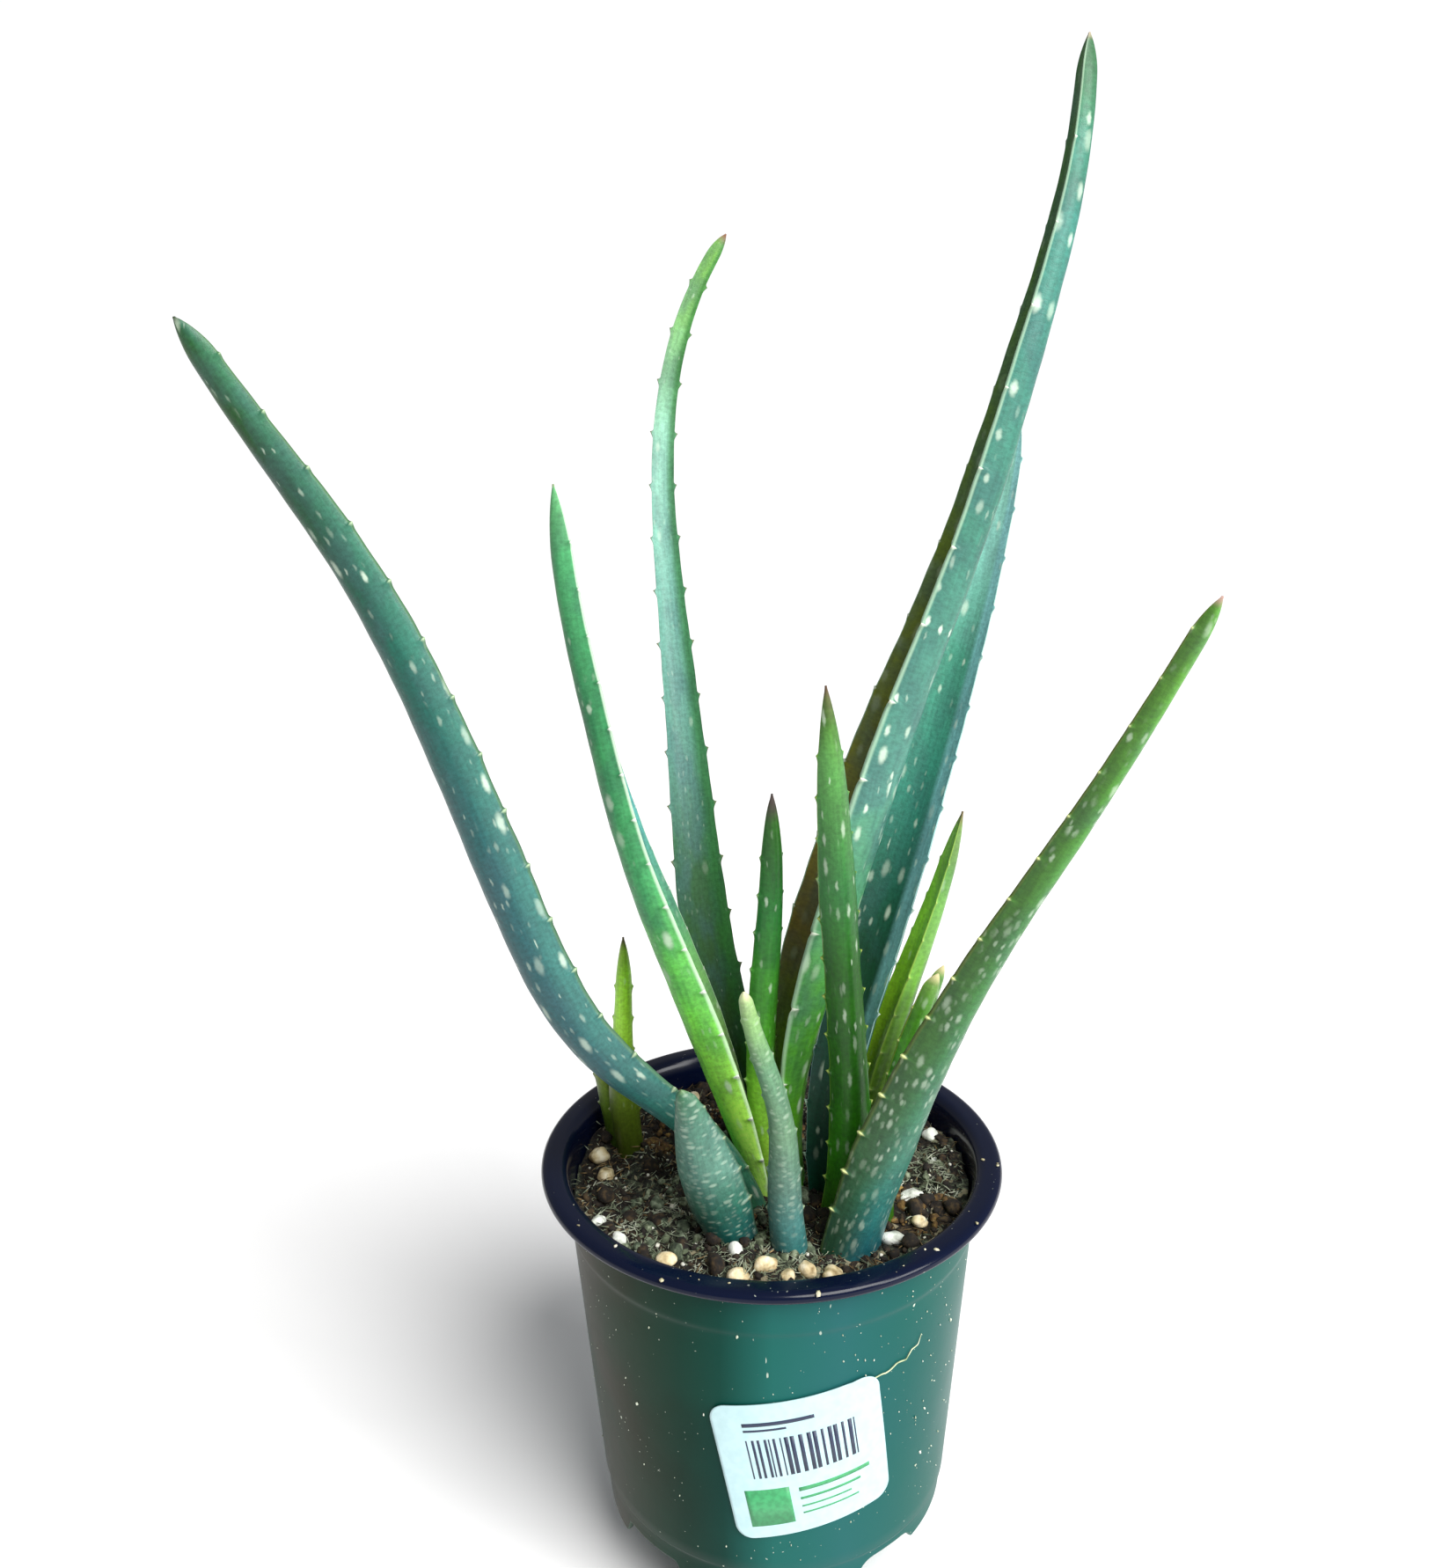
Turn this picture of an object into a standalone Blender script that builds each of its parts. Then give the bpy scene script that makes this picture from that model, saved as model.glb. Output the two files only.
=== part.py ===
"""Aloe plant with fifteen leaves in a round thin-walled nursery pot, with soil and a wall sticker.

Metres, +Z up. The origin is the middle of the pot's flat bottom disc, and the front of the plant is -Y.
Sizes in the tables below are in millimetres and degrees, and are turned into metres when a mesh is made.
"""
import math
import random

import bmesh
import bpy
import numpy as np

MM = 0.001
CLEARANCE = 0.3          # air between two pieces that touch, mm
SEGMENTS = 40            # steps round the pot and the soil

# Pot: a moulded shell that stands on a centre disc and on a curved foot in front and one at the back
WALL = 1.4
ARCH_TURNS = (-134.0, -51.0, 47.0, 131.0)  # degrees from +X
# Half of the opening between two feet, as distance from its middle and height: at the wall, where it
# is tallest, and further in, where its roof drops under the sloping floor
ARCH_AT_WALL = [(18.5, -2.0), (9.0, 22.6), (7.2, 24.6), (4.6, 25.8)]
ARCH_INSIDE = [(17.5, -2.0), (8.8, 8.8), (7.2, 9.5), (4.4, 9.6)]
ARCH_REACH = (25.0, 46.0)  # distances from the pot's axis
# The skirt at the left and at the right ends above the ground: distances from the axis where it is
# trimmed, half of the trimmed length, and the height of its edge
SKIRT_REACH = (28.5, 48.0)
SKIRT_HALF = 24.0
SKIRT_EDGE = 14.8
# Outside of the pot as radius and height, from the rim's flat ring down to the bottom disc
POT_OUTSIDE = [
    (52.4, 99.0), (53.5, 98.6), (54.0, 97.8), (53.9, 96.9), (53.2, 96.4), (49.4, 96.5), (48.6, 95.4),
    (47.7, 85.6), (47.2, 84.8), (41.2, 23.8), (40.7, 23.0), (39.6, 12.0), (38.4, 6.0), (36.2, 1.6),
    (34.2, 0.0), (32.6, 0.0), (32.6, 1.4), (34.4, 2.6), (36.8, 6.6), (39.2, 22.2), (38.3, 23.4),
    (28.6, 16.6), (24.6, 10.4), (22.0, 2.0), (20.6, 0.0),
]
# Inside of the pot, from the middle of its floor up to the rim
POT_INSIDE = [
    (19.6, 1.4), (20.8, 2.8), (23.4, 11.2), (27.8, 17.8), (38.6, 25.0), (39.9, 26.4),
    (45.8, 84.4), (46.3, 85.8), (47.2, 95.6), (48.1, 98.2), (49.2, 99.0),
]

# Soil: a plug that fills the pot to a few millimetres under the rim
SOIL_TOP = 93.0
SOIL_HUMP = 1.6
SOIL_RADIUS = 46.4
FOOT_DEPTH = 10.0        # how far a leaf's foot goes into the soil
SOIL_OUTSIDE = [
    (19.5, 1.7), (20.5, 3.1), (23.1, 11.5), (27.6, 18.2), (38.4, 25.4), (39.6, 26.7),
    (45.5, 84.6), (46.0, 86.0),
]
# Pebbles lying in the soil: place (x, y) and radii along x, y and z
PEBBLES = [
    (-40.5, 5.5, 2.2, 1.8, 1.5), (-38.4, 0.8, 1.9, 1.6, 1.3), (-38.6, -15.5, 2.0, 1.7, 1.5),
    (-33.2, -20.4, 2.4, 1.9, 1.6), (-24.6, -27.4, 1.7, 1.4, 1.2), (-7.4, -35.0, 2.1, 1.6, 1.4),
    (-1.4, -37.4, 2.0, 1.7, 1.4), (9.0, -38.0, 2.2, 1.8, 1.5), (15.4, -39.6, 2.6, 2.0, 1.7),
    (20.6, -38.2, 2.0, 1.6, 1.3), (41.0, 12.0, 2.1, 1.8, 1.5), (41.4, 4.4, 1.8, 1.6, 1.3),
    (35.4, -10.4, 2.2, 1.9, 1.6), (29.8, -23.6, 2.3, 1.8, 1.5), (36.8, -18.0, 1.7, 1.5, 1.2),
    (-20.0, 30.0, 2.2, 1.9, 1.5), (6.0, 34.0, 2.4, 1.9, 1.6), (24.0, 27.0, 1.9, 1.7, 1.4),
]

# Sticker on the pot's wall: middle as arc length from the front and height, size and turn
LABEL_ARC = 7.0
LABEL_HEIGHT = 52.6
LABEL_SIZE = (35.8, 34.0)
LABEL_CORNER = 3.6
LABEL_TURN = 9.7
LABEL_THICKNESS = 0.6

# Leaves. root: where the middle line leaves the soil. heading: the way the leaf leans, degrees from +X.
# lean and sway: angles from upright, along and across the heading, at even steps from soil to tip.
# face: the way the rounded back of the leaf looks. width: from margin to margin. thick: depth of the
# section as a part of its width. groove: depth of the inner channel as a part of that. point: length
# over which the tip closes. pitch and tooth: spacing and height of the teeth on both margins.
LEAVES = {
    "leaf_left_arch": dict(
        root=(-6.2, -11.5), heading=198, length=228, lean=(22.5, 46.5, 23, 19, 23, 32, 28.5), sway=(0, 0),
        face=(215, 230, 236, 236, 234), width=(12.5, 14.6, 13.8, 13.2, 11.8, 9.8, 6.0),
        thick=(0.37, 0.5, 0.52, 0.5, 0.5, 0.5), groove=(0.48, 0.38, 0.25, 0.1, 0.0),
        point=9.0, pitch=13.0, tooth=1.2),
    "leaf_left_upright": dict(
        root=(-2.5, -8.5), heading=176, length=170, lean=(13.5, 19, 21, 14, 11, 1), sway=(0, 0),
        face=(192, 186, 184, 200, 222), width=(10.0, 13.3, 12.5, 10.1, 8.1, 6.7, 4.7),
        thick=(0.4, 0.6, 0.68, 0.68, 0.66, 0.6), groove=(0.45, 0.42, 0.4, 0.3, 0.1),
        point=16.0, pitch=10.5, tooth=1.2),
    "leaf_back": dict(
        root=(-1.0, 1.8), heading=100, length=233, lean=(8, 14, 16, 14, 8),
        sway=(17.5, 10.5, 3, 3, 1, -12.5, -35.5), face=(100, 100),
        width=(12.4, 12.7, 11.0, 8.1, 6.0, 4.8, 3.2), thick=(0.34, 0.42, 0.46, 0.5, 0.5, 0.5),
        groove=(0.45, 0.42, 0.38, 0.3, 0.1), point=7.0, pitch=13.0, tooth=1.1),
    "leaf_tall": dict(
        root=(6.0, -5.0), heading=8, length=266, lean=(-11, 14, 18, 22, 17.5, 14.5, -0.5), sway=(0, 0),
        face=(16, 14, 10, 6, 4, 4), width=(9.5, 14.0, 14.2, 10.8, 9.0, 6.8, 4.3),
        thick=(0.44, 0.78, 0.84, 0.86, 0.88, 0.86, 0.8),
        groove=(0.45, 0.56, 0.56, 0.5, 0.4, 0.25, 0.1), point=9.0, pitch=18.0, tooth=1.3),
    "leaf_right_back": dict(
        root=(14.4, -12.6), heading=42, length=189, lean=(-4, 25, 24, 22.5, 12.5), sway=(0, 0),
        face=(48, 50, 54), width=(9.0, 12.1, 12.5, 11.5, 9.9, 7.2, 4.2),
        thick=(0.44, 0.44), groove=(0.45, 0.48, 0.45, 0.4, 0.2), point=14.0, pitch=12.0, tooth=1.2),
    "leaf_right_front": dict(
        root=(18.5, -30.0), heading=-32, length=164, lean=(15.5, 20.5, 26, 30.5, 28.5, 26.5), sway=(0, 0),
        face=(-62, -44, -34, -32, -32), width=(15.0, 15.4, 12.0, 9.2, 7.3, 5.6, 4.5),
        thick=(0.4, 0.56, 0.62, 0.64, 0.66, 0.66), groove=(0.43, 0.4, 0.3, 0.2, 0.1, 0.0),
        point=9.0, pitch=10.5, tooth=1.1),
    "leaf_front_centre": dict(
        root=(15.5, -20.0), heading=-90, length=124, lean=(5, 4, 2, 0), sway=(11.5, -1.5, -3.5, -3, -5.5),
        face=(-80, -75, -70), width=(9.0, 9.3, 8.5, 8.1, 8.1, 6.5, 5.4),
        thick=(0.4, 0.52, 0.56, 0.54, 0.5), groove=(0.4, 0.4, 0.35, 0.25, 0.1),
        point=26.0, pitch=9.0, tooth=0.9),
    "leaf_centre": dict(
        root=(2.55, -7.4), heading=0, length=97, lean=(-14, 4.5, -2.5), sway=(-3, -3),
        face=(-70, -60), width=(5.6, 7.2, 6.9, 6.8, 5.5, 5.5), thick=(0.53, 0.52),
        groove=(0.33, 0.3, 0.2, 0.1, 0.0), point=20.0, pitch=9.0, tooth=0.8),
    "leaf_small_right": dict(
        root=(20.5, -10.5), heading=8, length=94, lean=(-3, 16.5, 19.5, 12), sway=(0, 0),
        face=(15, 15), width=(6.0, 7.4, 7.9, 6.7, 4.9, 3.2), thick=(0.57, 0.72, 0.74, 0.72, 0.7),
        groove=(0.35, 0.4, 0.35, 0.2, 0.0), point=14.0, pitch=9.0, tooth=0.8),
    "offset_leaf_front": dict(
        root=(25.9, -18.5), heading=2, length=59, lean=(-3, 12, 21.5), sway=(0, 0),
        face=(-60, -50), width=(4.8, 6.0, 6.1, 3.9), thick=(0.58, 0.54), groove=(0.3, 0.2, 0.0),
        point=4.0, pitch=8.0, tooth=0.7),
    "offset_leaf_back": dict(
        root=(26.0, -13.2), heading=8, length=58, lean=(6, 13, 20.5), sway=(0, 0),
        face=(-60, -50), width=(4.4, 5.0, 4.8, 3.2), thick=(0.58, 0.54), groove=(0.3, 0.2, 0.0),
        point=4.0, pitch=8.0, tooth=0.7),
    "leaf_stub_left": dict(
        root=(-9.3, -27.0), heading=205, length=39, lean=(24.5, 13.5, 11.5), sway=(0, 0),
        face=(245, 245), width=(12.6, 15.5, 14.5, 9.6, 3.4), thick=(0.43, 0.46, 0.5, 0.6),
        groove=(0.33, 0.2, 0.1, 0.0), point=2.5, pitch=8.0, tooth=0.8),
    "leaf_stub_front": dict(
        root=(4.0, -32.0), heading=195, length=62, lean=(8, 0.5, 17.5, 9), sway=(0, 0),
        face=(-92, -92), width=(8.0, 7.2, 5.4, 4.5, 2.8), thick=(0.47, 0.54, 0.56, 0.57),
        groove=(0.25, 0.2, 0.1, 0.0), point=3.0, pitch=9.0, tooth=0.6),
    "pup_leaf_tall": dict(
        root=(-34.2, 8.4), heading=190, length=55, lean=(9, -2.5, -0.5), sway=(0, 0),
        face=(-90, -90), width=(6.4, 7.2, 5.2, 4.0, 3.0), thick=(0.47, 0.5, 0.56, 0.55),
        groove=(0.25, 0.2, 0.1, 0.0), point=12.0, pitch=8.0, tooth=0.6),
    "pup_leaf_short": dict(
        root=(-37.0, 12.6), heading=178, length=27, lean=(4, 14, 22), sway=(0, 0),
        face=(-90, -90), width=(7.4, 7.6, 6.0, 4.0), thick=(0.45, 0.5),
        groove=(0.25, 0.2, 0.0), point=10.0, pitch=8.0, tooth=0.6),
}

# Where the points of a leaf's section sit across its width, from -1 to 1
BACK_STEPS = (-0.8, -0.3, 0.3, 0.8)
GROOVE_STEPS = (0.45, -0.45)
SPINE_STEPS = 240
TIP_WIDTH = 1.1
TIP_DEPTH = 0.9


def smooth(values, place):
    """Read a smooth curve through evenly spaced values at a place from 0 to 1."""
    count = len(values) - 1
    spot = min(max(place, 0.0), 1.0) * count
    index = min(int(spot), count - 1)
    part = spot - index
    before = values[index - 1] if index else 2 * values[0] - values[1]
    after = values[index + 2] if index + 2 <= count else 2 * values[-1] - values[-2]
    here, there = values[index], values[index + 1]
    bend = 2 * before - 5 * here + 4 * there - after
    twist = 3 * (here - there) + after - before
    return here + 0.5 * part * (there - before + part * (bend + part * twist))


def leaf_spine(leaf):
    """Follow a leaf's lean and sway upward from the soil: points and directions along its middle."""
    heading = math.radians(leaf["heading"])
    along = np.array((math.cos(heading), math.sin(heading), 0.0))
    across = np.array((-math.sin(heading), math.cos(heading), 0.0))
    up = np.array((0.0, 0.0, 1.0))
    step = leaf["length"] / SPINE_STEPS
    points = [np.array((*leaf["root"], SOIL_TOP))]
    ways = []
    for index in range(SPINE_STEPS):
        place = (index + 0.5) / SPINE_STEPS
        lean = math.radians(smooth(leaf["lean"], place))
        sway = math.radians(smooth(leaf["sway"], place))
        way = along * math.sin(lean) * math.cos(sway) + across * math.sin(sway)
        way = way + up * math.cos(lean) * math.cos(sway)
        ways.append(way)
        points.append(points[-1] + way * step)
    ways.append(ways[-1])
    return points, ways


def swell(section, grow):
    """Push the outline of a section outward by an even distance, with pointed corners kept short."""
    outline = [np.array(point) for point in section]
    count = len(outline)
    grown = []
    for index, point in enumerate(outline):
        into = point - outline[index - 1]
        away = outline[(index + 1) % count] - point
        first = np.array((into[1], -into[0])) / np.linalg.norm(into)
        second = np.array((away[1], -away[0])) / np.linalg.norm(away)
        mean = first + second
        reach = 2.0 / max(mean.dot(mean), 0.35)
        grown.append(tuple(point + mean * reach * grow))
    return grown


def leaf_section(leaf, place, grow):
    """Points of the section at a place from 0 to 1: margins, rounded back and grooved inner face."""
    into_tip = max(place * leaf["length"] - leaf["length"] + leaf["point"], 0.0) / leaf["point"]
    close = max(1.0 - into_tip * into_tip, 0.0) ** 0.8
    width = max(smooth(leaf["width"], place) * close, TIP_WIDTH)
    depth = max(smooth(leaf["thick"], place) * width, TIP_DEPTH)
    groove = min(smooth(leaf["groove"], place) * depth, depth - TIP_DEPTH)
    half = width / 2
    middle = depth / 2
    section = [(-half, middle)]
    for step in BACK_STEPS:
        section.append((step * half, middle - depth * (1 - step * step) ** 0.6))
    section.append((half, middle))
    for step in GROOVE_STEPS:
        section.append((step * half, middle - groove * (1 - step * step)))
    return swell(section, grow) if grow else section


def leaf_ring(leaf, point, way, place, grow=0.0, tooth=0.0):
    """Place one section on the spine, with a tooth of the given height on both margins."""
    face = math.radians(smooth(leaf["face"], place))
    side = np.array((-math.sin(face), math.cos(face), 0.0))
    side = side - way * side.dot(way)
    side = side / np.linalg.norm(side)
    inner = np.cross(way, side)
    ring = []
    for across, out in leaf_section(leaf, place, grow):
        ring.append(point + side * across + inner * out)
    last = len(BACK_STEPS) + 1
    if tooth:
        ring[0] = ring[0] - side * tooth + way * 0.5 * tooth
        ring[last] = ring[last] + side * tooth + way * 0.5 * tooth
    return ring


def leaf_rings(leaf):
    """All sections of a leaf from its foot in the soil to its tip, three for every pair of teeth."""
    points, ways = leaf_spine(leaf)
    length = leaf["length"]
    upright = np.array((0.0, 0.0, 1.0))
    rings = []
    for drop in (FOOT_DEPTH, 1.0):
        rings.append(leaf_ring(leaf, points[0] - upright * drop, upright, 0.0))
    stations = [(1.5, 0.0), (5.0, 0.0)]
    spot = 10.0
    while spot < length - 0.5 * leaf["point"] - 1.5:
        height = leaf["tooth"] * (1.0 - 0.45 * spot / length)
        stations += [(spot - 1.0, 0.0), (spot, height), (spot + 0.8, 0.0)]
        spot += leaf["pitch"]
    for part in (0.75, 0.5, 0.25):
        if length - part * leaf["point"] > stations[-1][0] + 1.5:
            stations.append((length - part * leaf["point"], 0.0))
    stations.append((length - 0.6, 0.0))
    for spot, height in stations:
        place = spot / length
        index = int(round(place * SPINE_STEPS))
        rings.append(leaf_ring(leaf, points[index], ways[index], place, 0.0, height))
    return rings, points[-1]


def hole_rings(leaf):
    """Sections of a plug a little larger than the leaf's foot, which cuts its hole in the soil."""
    points, ways = leaf_spine(leaf)
    upright = np.array((0.0, 0.0, 1.0))
    rings = []
    for drop in (FOOT_DEPTH + CLEARANCE, 1.0):
        rings.append(leaf_ring(leaf, points[0] - upright * drop, upright, 0.0, CLEARANCE + 0.05))
    for spot in (1.5, 5.0, 9.0):
        place = spot / leaf["length"]
        index = int(round(place * SPINE_STEPS))
        rings.append(leaf_ring(leaf, points[index], ways[index], place, CLEARANCE + 0.05))
    return rings


def loft(name, rings, tip=None):
    """Skin closed sections into one solid, ending in a flat face or in a tip point."""
    mesh = bpy.data.meshes.new(name)
    work = bmesh.new()
    rows = [[work.verts.new(point * MM) for point in ring] for ring in rings]
    count = len(rows[0])
    for lower, upper in zip(rows, rows[1:]):
        for index in range(count):
            after = (index + 1) % count
            work.faces.new((lower[index], lower[after], upper[after], upper[index]))
    work.faces.new(rows[0])
    if tip is None:
        work.faces.new(rows[-1])
    else:
        end = work.verts.new(tip * MM)
        for index in range(count):
            work.faces.new((rows[-1][index], rows[-1][(index + 1) % count], end))
    bmesh.ops.recalc_face_normals(work, faces=work.faces)
    bmesh.ops.triangulate(work, faces=work.faces)
    work.to_mesh(mesh)
    work.free()
    return mesh


def turned(name, profile):
    """Turn an open profile of radius and height, whose ends are on the axis, into a closed solid."""
    mesh = bpy.data.meshes.new(name)
    points = [(radius * MM, 0.0, height * MM) for radius, height in profile]
    edges = [(index, index + 1) for index in range(len(points) - 1)]
    mesh.from_pydata(points, edges, [])
    shape = bpy.data.objects.new(name, mesh)
    screw = shape.modifiers.new("turn", "SCREW")
    screw.steps = SEGMENTS
    screw.render_steps = SEGMENTS
    screw.use_merge_vertices = True
    screw.merge_threshold = 0.00001
    return shape


def rounded(mesh, degrees):
    """Shade a mesh smooth, with creases where it turns by more than an angle."""
    mesh.shade_smooth()
    mesh.set_sharp_from_angle(angle=math.radians(degrees))
    return mesh


def material(name, colour, roughness, metallic=0.0):
    """A plain surface in one colour."""
    surface = bpy.data.materials.new(name)
    surface.use_nodes = True
    shader = surface.node_tree.nodes["Principled BSDF"]
    shader.inputs["Base Color"].default_value = (*colour, 1.0)
    shader.inputs["Roughness"].default_value = roughness
    shader.inputs["Metallic"].default_value = metallic
    surface.diffuse_color = (*colour, 1.0)
    return surface


def cutter(shape, group):
    """Keep a helper shape out of the render and show it as wires."""
    shape.hide_render = True
    shape.display_type = "WIRE"
    group.objects.link(shape)
    return shape


def boolean(shape, tool, operation):
    """Add a Boolean that cuts the tool from the shape or joins it to the shape."""
    change = shape.modifiers.new(tool.name, "BOOLEAN")
    change.operation = operation
    change.solver = "EXACT"
    change.object = tool


def arch_cutter(name, degrees):
    """A wedge with rounded shoulders that opens one arch between two feet, seen along its own radius."""
    turn = math.radians(degrees)
    out = np.array((math.cos(turn), math.sin(turn), 0.0))
    side = np.array((-math.sin(turn), math.cos(turn), 0.0))
    up = np.array((0.0, 0.0, 1.0))
    rings = []
    for reach, half in zip(ARCH_REACH, (ARCH_INSIDE, ARCH_AT_WALL)):
        outline = half + [(-across, height) for across, height in reversed(half)]
        rings.append([out * reach + side * across + up * height for across, height in outline])
    return bpy.data.objects.new(name, loft(name, rings))


def skirt_cutter(name, side):
    """A box that trims the skirt's lower part at the left (-1) or at the right (1)."""
    corners = [(SKIRT_REACH[0], -SKIRT_HALF), (SKIRT_REACH[1], -SKIRT_HALF),
               (SKIRT_REACH[1], SKIRT_HALF), (SKIRT_REACH[0], SKIRT_HALF)]
    rings = [[np.array((x * side, y, height)) for x, y in corners] for height in (-2.0, SKIRT_EDGE)]
    return bpy.data.objects.new(name, loft(name, rings))


def wall_radius(height):
    """Outer radius of the pot's wall at a height between the feet and the step under the rim."""
    (upper_radius, upper_height), (lower_radius, lower_height) = POT_OUTSIDE[8], POT_OUTSIDE[9]
    part = (height - lower_height) / (upper_height - lower_height)
    return lower_radius + part * (upper_radius - lower_radius)


def label_mesh():
    """The sticker: a rounded rectangle, turned on the wall and bent round it, with an even thickness."""
    width, height = LABEL_SIZE
    turn = math.radians(LABEL_TURN)
    columns = []
    for index in range(5):
        angle = math.radians(90.0 * index / 4)
        inset = LABEL_CORNER * (1 - math.sin(angle))
        columns.append((-width / 2 + LABEL_CORNER * (1 - math.cos(angle)), height / 2 - inset))
    for index in range(1, 8):
        columns.append((-width / 2 + LABEL_CORNER + (width - 2 * LABEL_CORNER) * index / 8, height / 2))
    columns += [(-across, reach) for across, reach in reversed(columns[:5])]
    work = bmesh.new()
    sheets = []
    for lift in (CLEARANCE, CLEARANCE + LABEL_THICKNESS):
        sheet = []
        for across, reach in columns:
            column = []
            for part in (-1.0, -0.33, 0.33, 1.0):
                rise = reach * part
                arc = LABEL_ARC + across * math.cos(turn) - rise * math.sin(turn)
                level = LABEL_HEIGHT + across * math.sin(turn) + rise * math.cos(turn)
                radius = wall_radius(level)
                angle = -math.pi / 2 + arc / wall_radius(LABEL_HEIGHT)
                radius += lift
                column.append(work.verts.new(
                    (radius * math.cos(angle) * MM, radius * math.sin(angle) * MM, level * MM)))
            sheet.append(column)
        sheets.append(sheet)
    inner, outer = sheets
    last = len(columns) - 1
    for index in range(last):
        for row in range(3):
            work.faces.new((outer[index][row], outer[index + 1][row],
                            outer[index + 1][row + 1], outer[index][row + 1]))
            work.faces.new((inner[index][row], inner[index][row + 1],
                            inner[index + 1][row + 1], inner[index + 1][row]))
        for row in (0, 3):
            work.faces.new((inner[index][row], inner[index + 1][row],
                            outer[index + 1][row], outer[index][row]))
    for index in (0, last):
        for row in range(3):
            work.faces.new((inner[index][row], inner[index][row + 1],
                            outer[index][row + 1], outer[index][row]))
    bmesh.ops.recalc_face_normals(work, faces=work.faces)
    mesh = bpy.data.meshes.new("label")
    work.to_mesh(mesh)
    work.free()
    return mesh


def soil_level(x, y):
    """Height of the soil's uneven top, in millimetres."""
    reach = min(math.hypot(x, y) / SOIL_RADIUS, 1.0)
    rolling = 0.5 * math.sin(0.21 * x + 0.9) * math.cos(0.17 * y - 0.4)
    grain = 0.3 * math.sin(0.71 * x - 0.53 * y) + 0.25 * math.sin(0.47 * x + 0.83 * y + 1.7)
    return SOIL_TOP - 1.0 + SOIL_HUMP * (1 - reach * reach) + (rolling + grain) * (1 - 0.5 * reach)


def soil_mesh():
    """The soil plug: an uneven top on rings, and sides that follow the inside of the pot."""
    work = bmesh.new()
    rings = []
    for radius, height in SOIL_OUTSIDE:
        rings.append([(radius, height, step) for step in range(SEGMENTS)])
    for part in (1.0, 0.88, 0.72, 0.55, 0.38, 0.2):
        rings.append([(SOIL_RADIUS * part, None, step) for step in range(SEGMENTS)])
    rows = []
    for ring in rings:
        row = []
        for radius, height, step in ring:
            angle = 2 * math.pi * step / SEGMENTS
            x, y = radius * math.cos(angle), radius * math.sin(angle)
            level = soil_level(x, y) if height is None else height
            row.append(work.verts.new((x * MM, y * MM, level * MM)))
        rows.append(row)
    for lower, upper in zip(rows, rows[1:]):
        for step in range(SEGMENTS):
            after = (step + 1) % SEGMENTS
            work.faces.new((lower[step], lower[after], upper[after], upper[step]))
    work.faces.new(list(reversed(rows[0])))
    centre = work.verts.new((0.0, 0.0, soil_level(0.0, 0.0) * MM))
    for step in range(SEGMENTS):
        work.faces.new((rows[-1][step], rows[-1][(step + 1) % SEGMENTS], centre))
    bmesh.ops.recalc_face_normals(work, faces=work.faces)
    bmesh.ops.triangulate(work, faces=work.faces)
    mesh = bpy.data.meshes.new("soil")
    work.to_mesh(mesh)
    work.free()
    return mesh


def pebble_mesh():
    """All pebbles as small rough balls, sunk by a third of their height into the soil."""
    rough = random.Random(7)
    work = bmesh.new()
    for x, y, wide, long, tall in PEBBLES:
        ball = bmesh.ops.create_icosphere(work, subdivisions=1, radius=1.0)
        level = soil_level(x, y) + 0.3 * tall
        for vert in ball["verts"]:
            swell = rough.uniform(0.88, 1.08)
            place = vert.co * swell
            vert.co = ((x + place.x * wide) * MM, (y + place.y * long) * MM, (level + place.z * tall) * MM)
    mesh = bpy.data.meshes.new("pebbles")
    work.to_mesh(mesh)
    work.free()
    return mesh


def main():
    """Clear the scene and build the pot, the soil, the sticker and the leaves."""
    for item in list(bpy.data.objects):
        bpy.data.objects.remove(item, do_unlink=True)
    parts = bpy.data.collections.new("potted_aloe")
    cutters = bpy.data.collections.new("cutters")
    bpy.context.scene.collection.children.link(parts)
    bpy.context.scene.collection.children.link(cutters)

    pot = turned("pot", POT_OUTSIDE + [(0.0, 0.0), (0.0, WALL)] + POT_INSIDE + POT_OUTSIDE[:1])
    parts.objects.link(pot)
    pot.data.materials.append(material("pot_green", (0.03, 0.13, 0.10), 0.35))
    for index, degrees in enumerate(ARCH_TURNS):
        boolean(pot, cutter(arch_cutter("arch_%d" % index, degrees), cutters), "DIFFERENCE")
    for name, side in (("skirt_left", -1.0), ("skirt_right", 1.0)):
        boolean(pot, cutter(skirt_cutter(name, side), cutters), "DIFFERENCE")

    label = bpy.data.objects.new("label", rounded(label_mesh(), 40))
    parts.objects.link(label)
    label.data.materials.append(material("label_paper", (0.72, 0.88, 0.80), 0.5))

    soil = bpy.data.objects.new("soil", soil_mesh())
    parts.objects.link(soil)
    soil.data.materials.append(material("soil_peat", (0.05, 0.045, 0.035), 0.95))
    pebbles = cutter(bpy.data.objects.new("pebbles", pebble_mesh()), cutters)
    boolean(soil, pebbles, "UNION")

    leaf_green = material("leaf_green", (0.12, 0.32, 0.10), 0.4)
    leaf_blue = material("leaf_blue_green", (0.10, 0.28, 0.20), 0.4)
    leaf_grey = material("leaf_grey_green", (0.20, 0.30, 0.20), 0.5)
    greens = {
        "leaf_left_arch": leaf_blue, "leaf_tall": leaf_blue, "leaf_right_back": leaf_blue,
        "leaf_stub_left": leaf_grey, "leaf_stub_front": leaf_grey,
    }
    for name, leaf in LEAVES.items():
        rings, tip = leaf_rings(leaf)
        shape = bpy.data.objects.new(name, rounded(loft(name, rings, tip), 50))
        shape.data.materials.append(greens.get(name, leaf_green))
        parts.objects.link(shape)
        hole = bpy.data.objects.new("hole_" + name, loft("hole_" + name, hole_rings(leaf)))
        boolean(soil, cutter(hole, cutters), "DIFFERENCE")


main()
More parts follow.
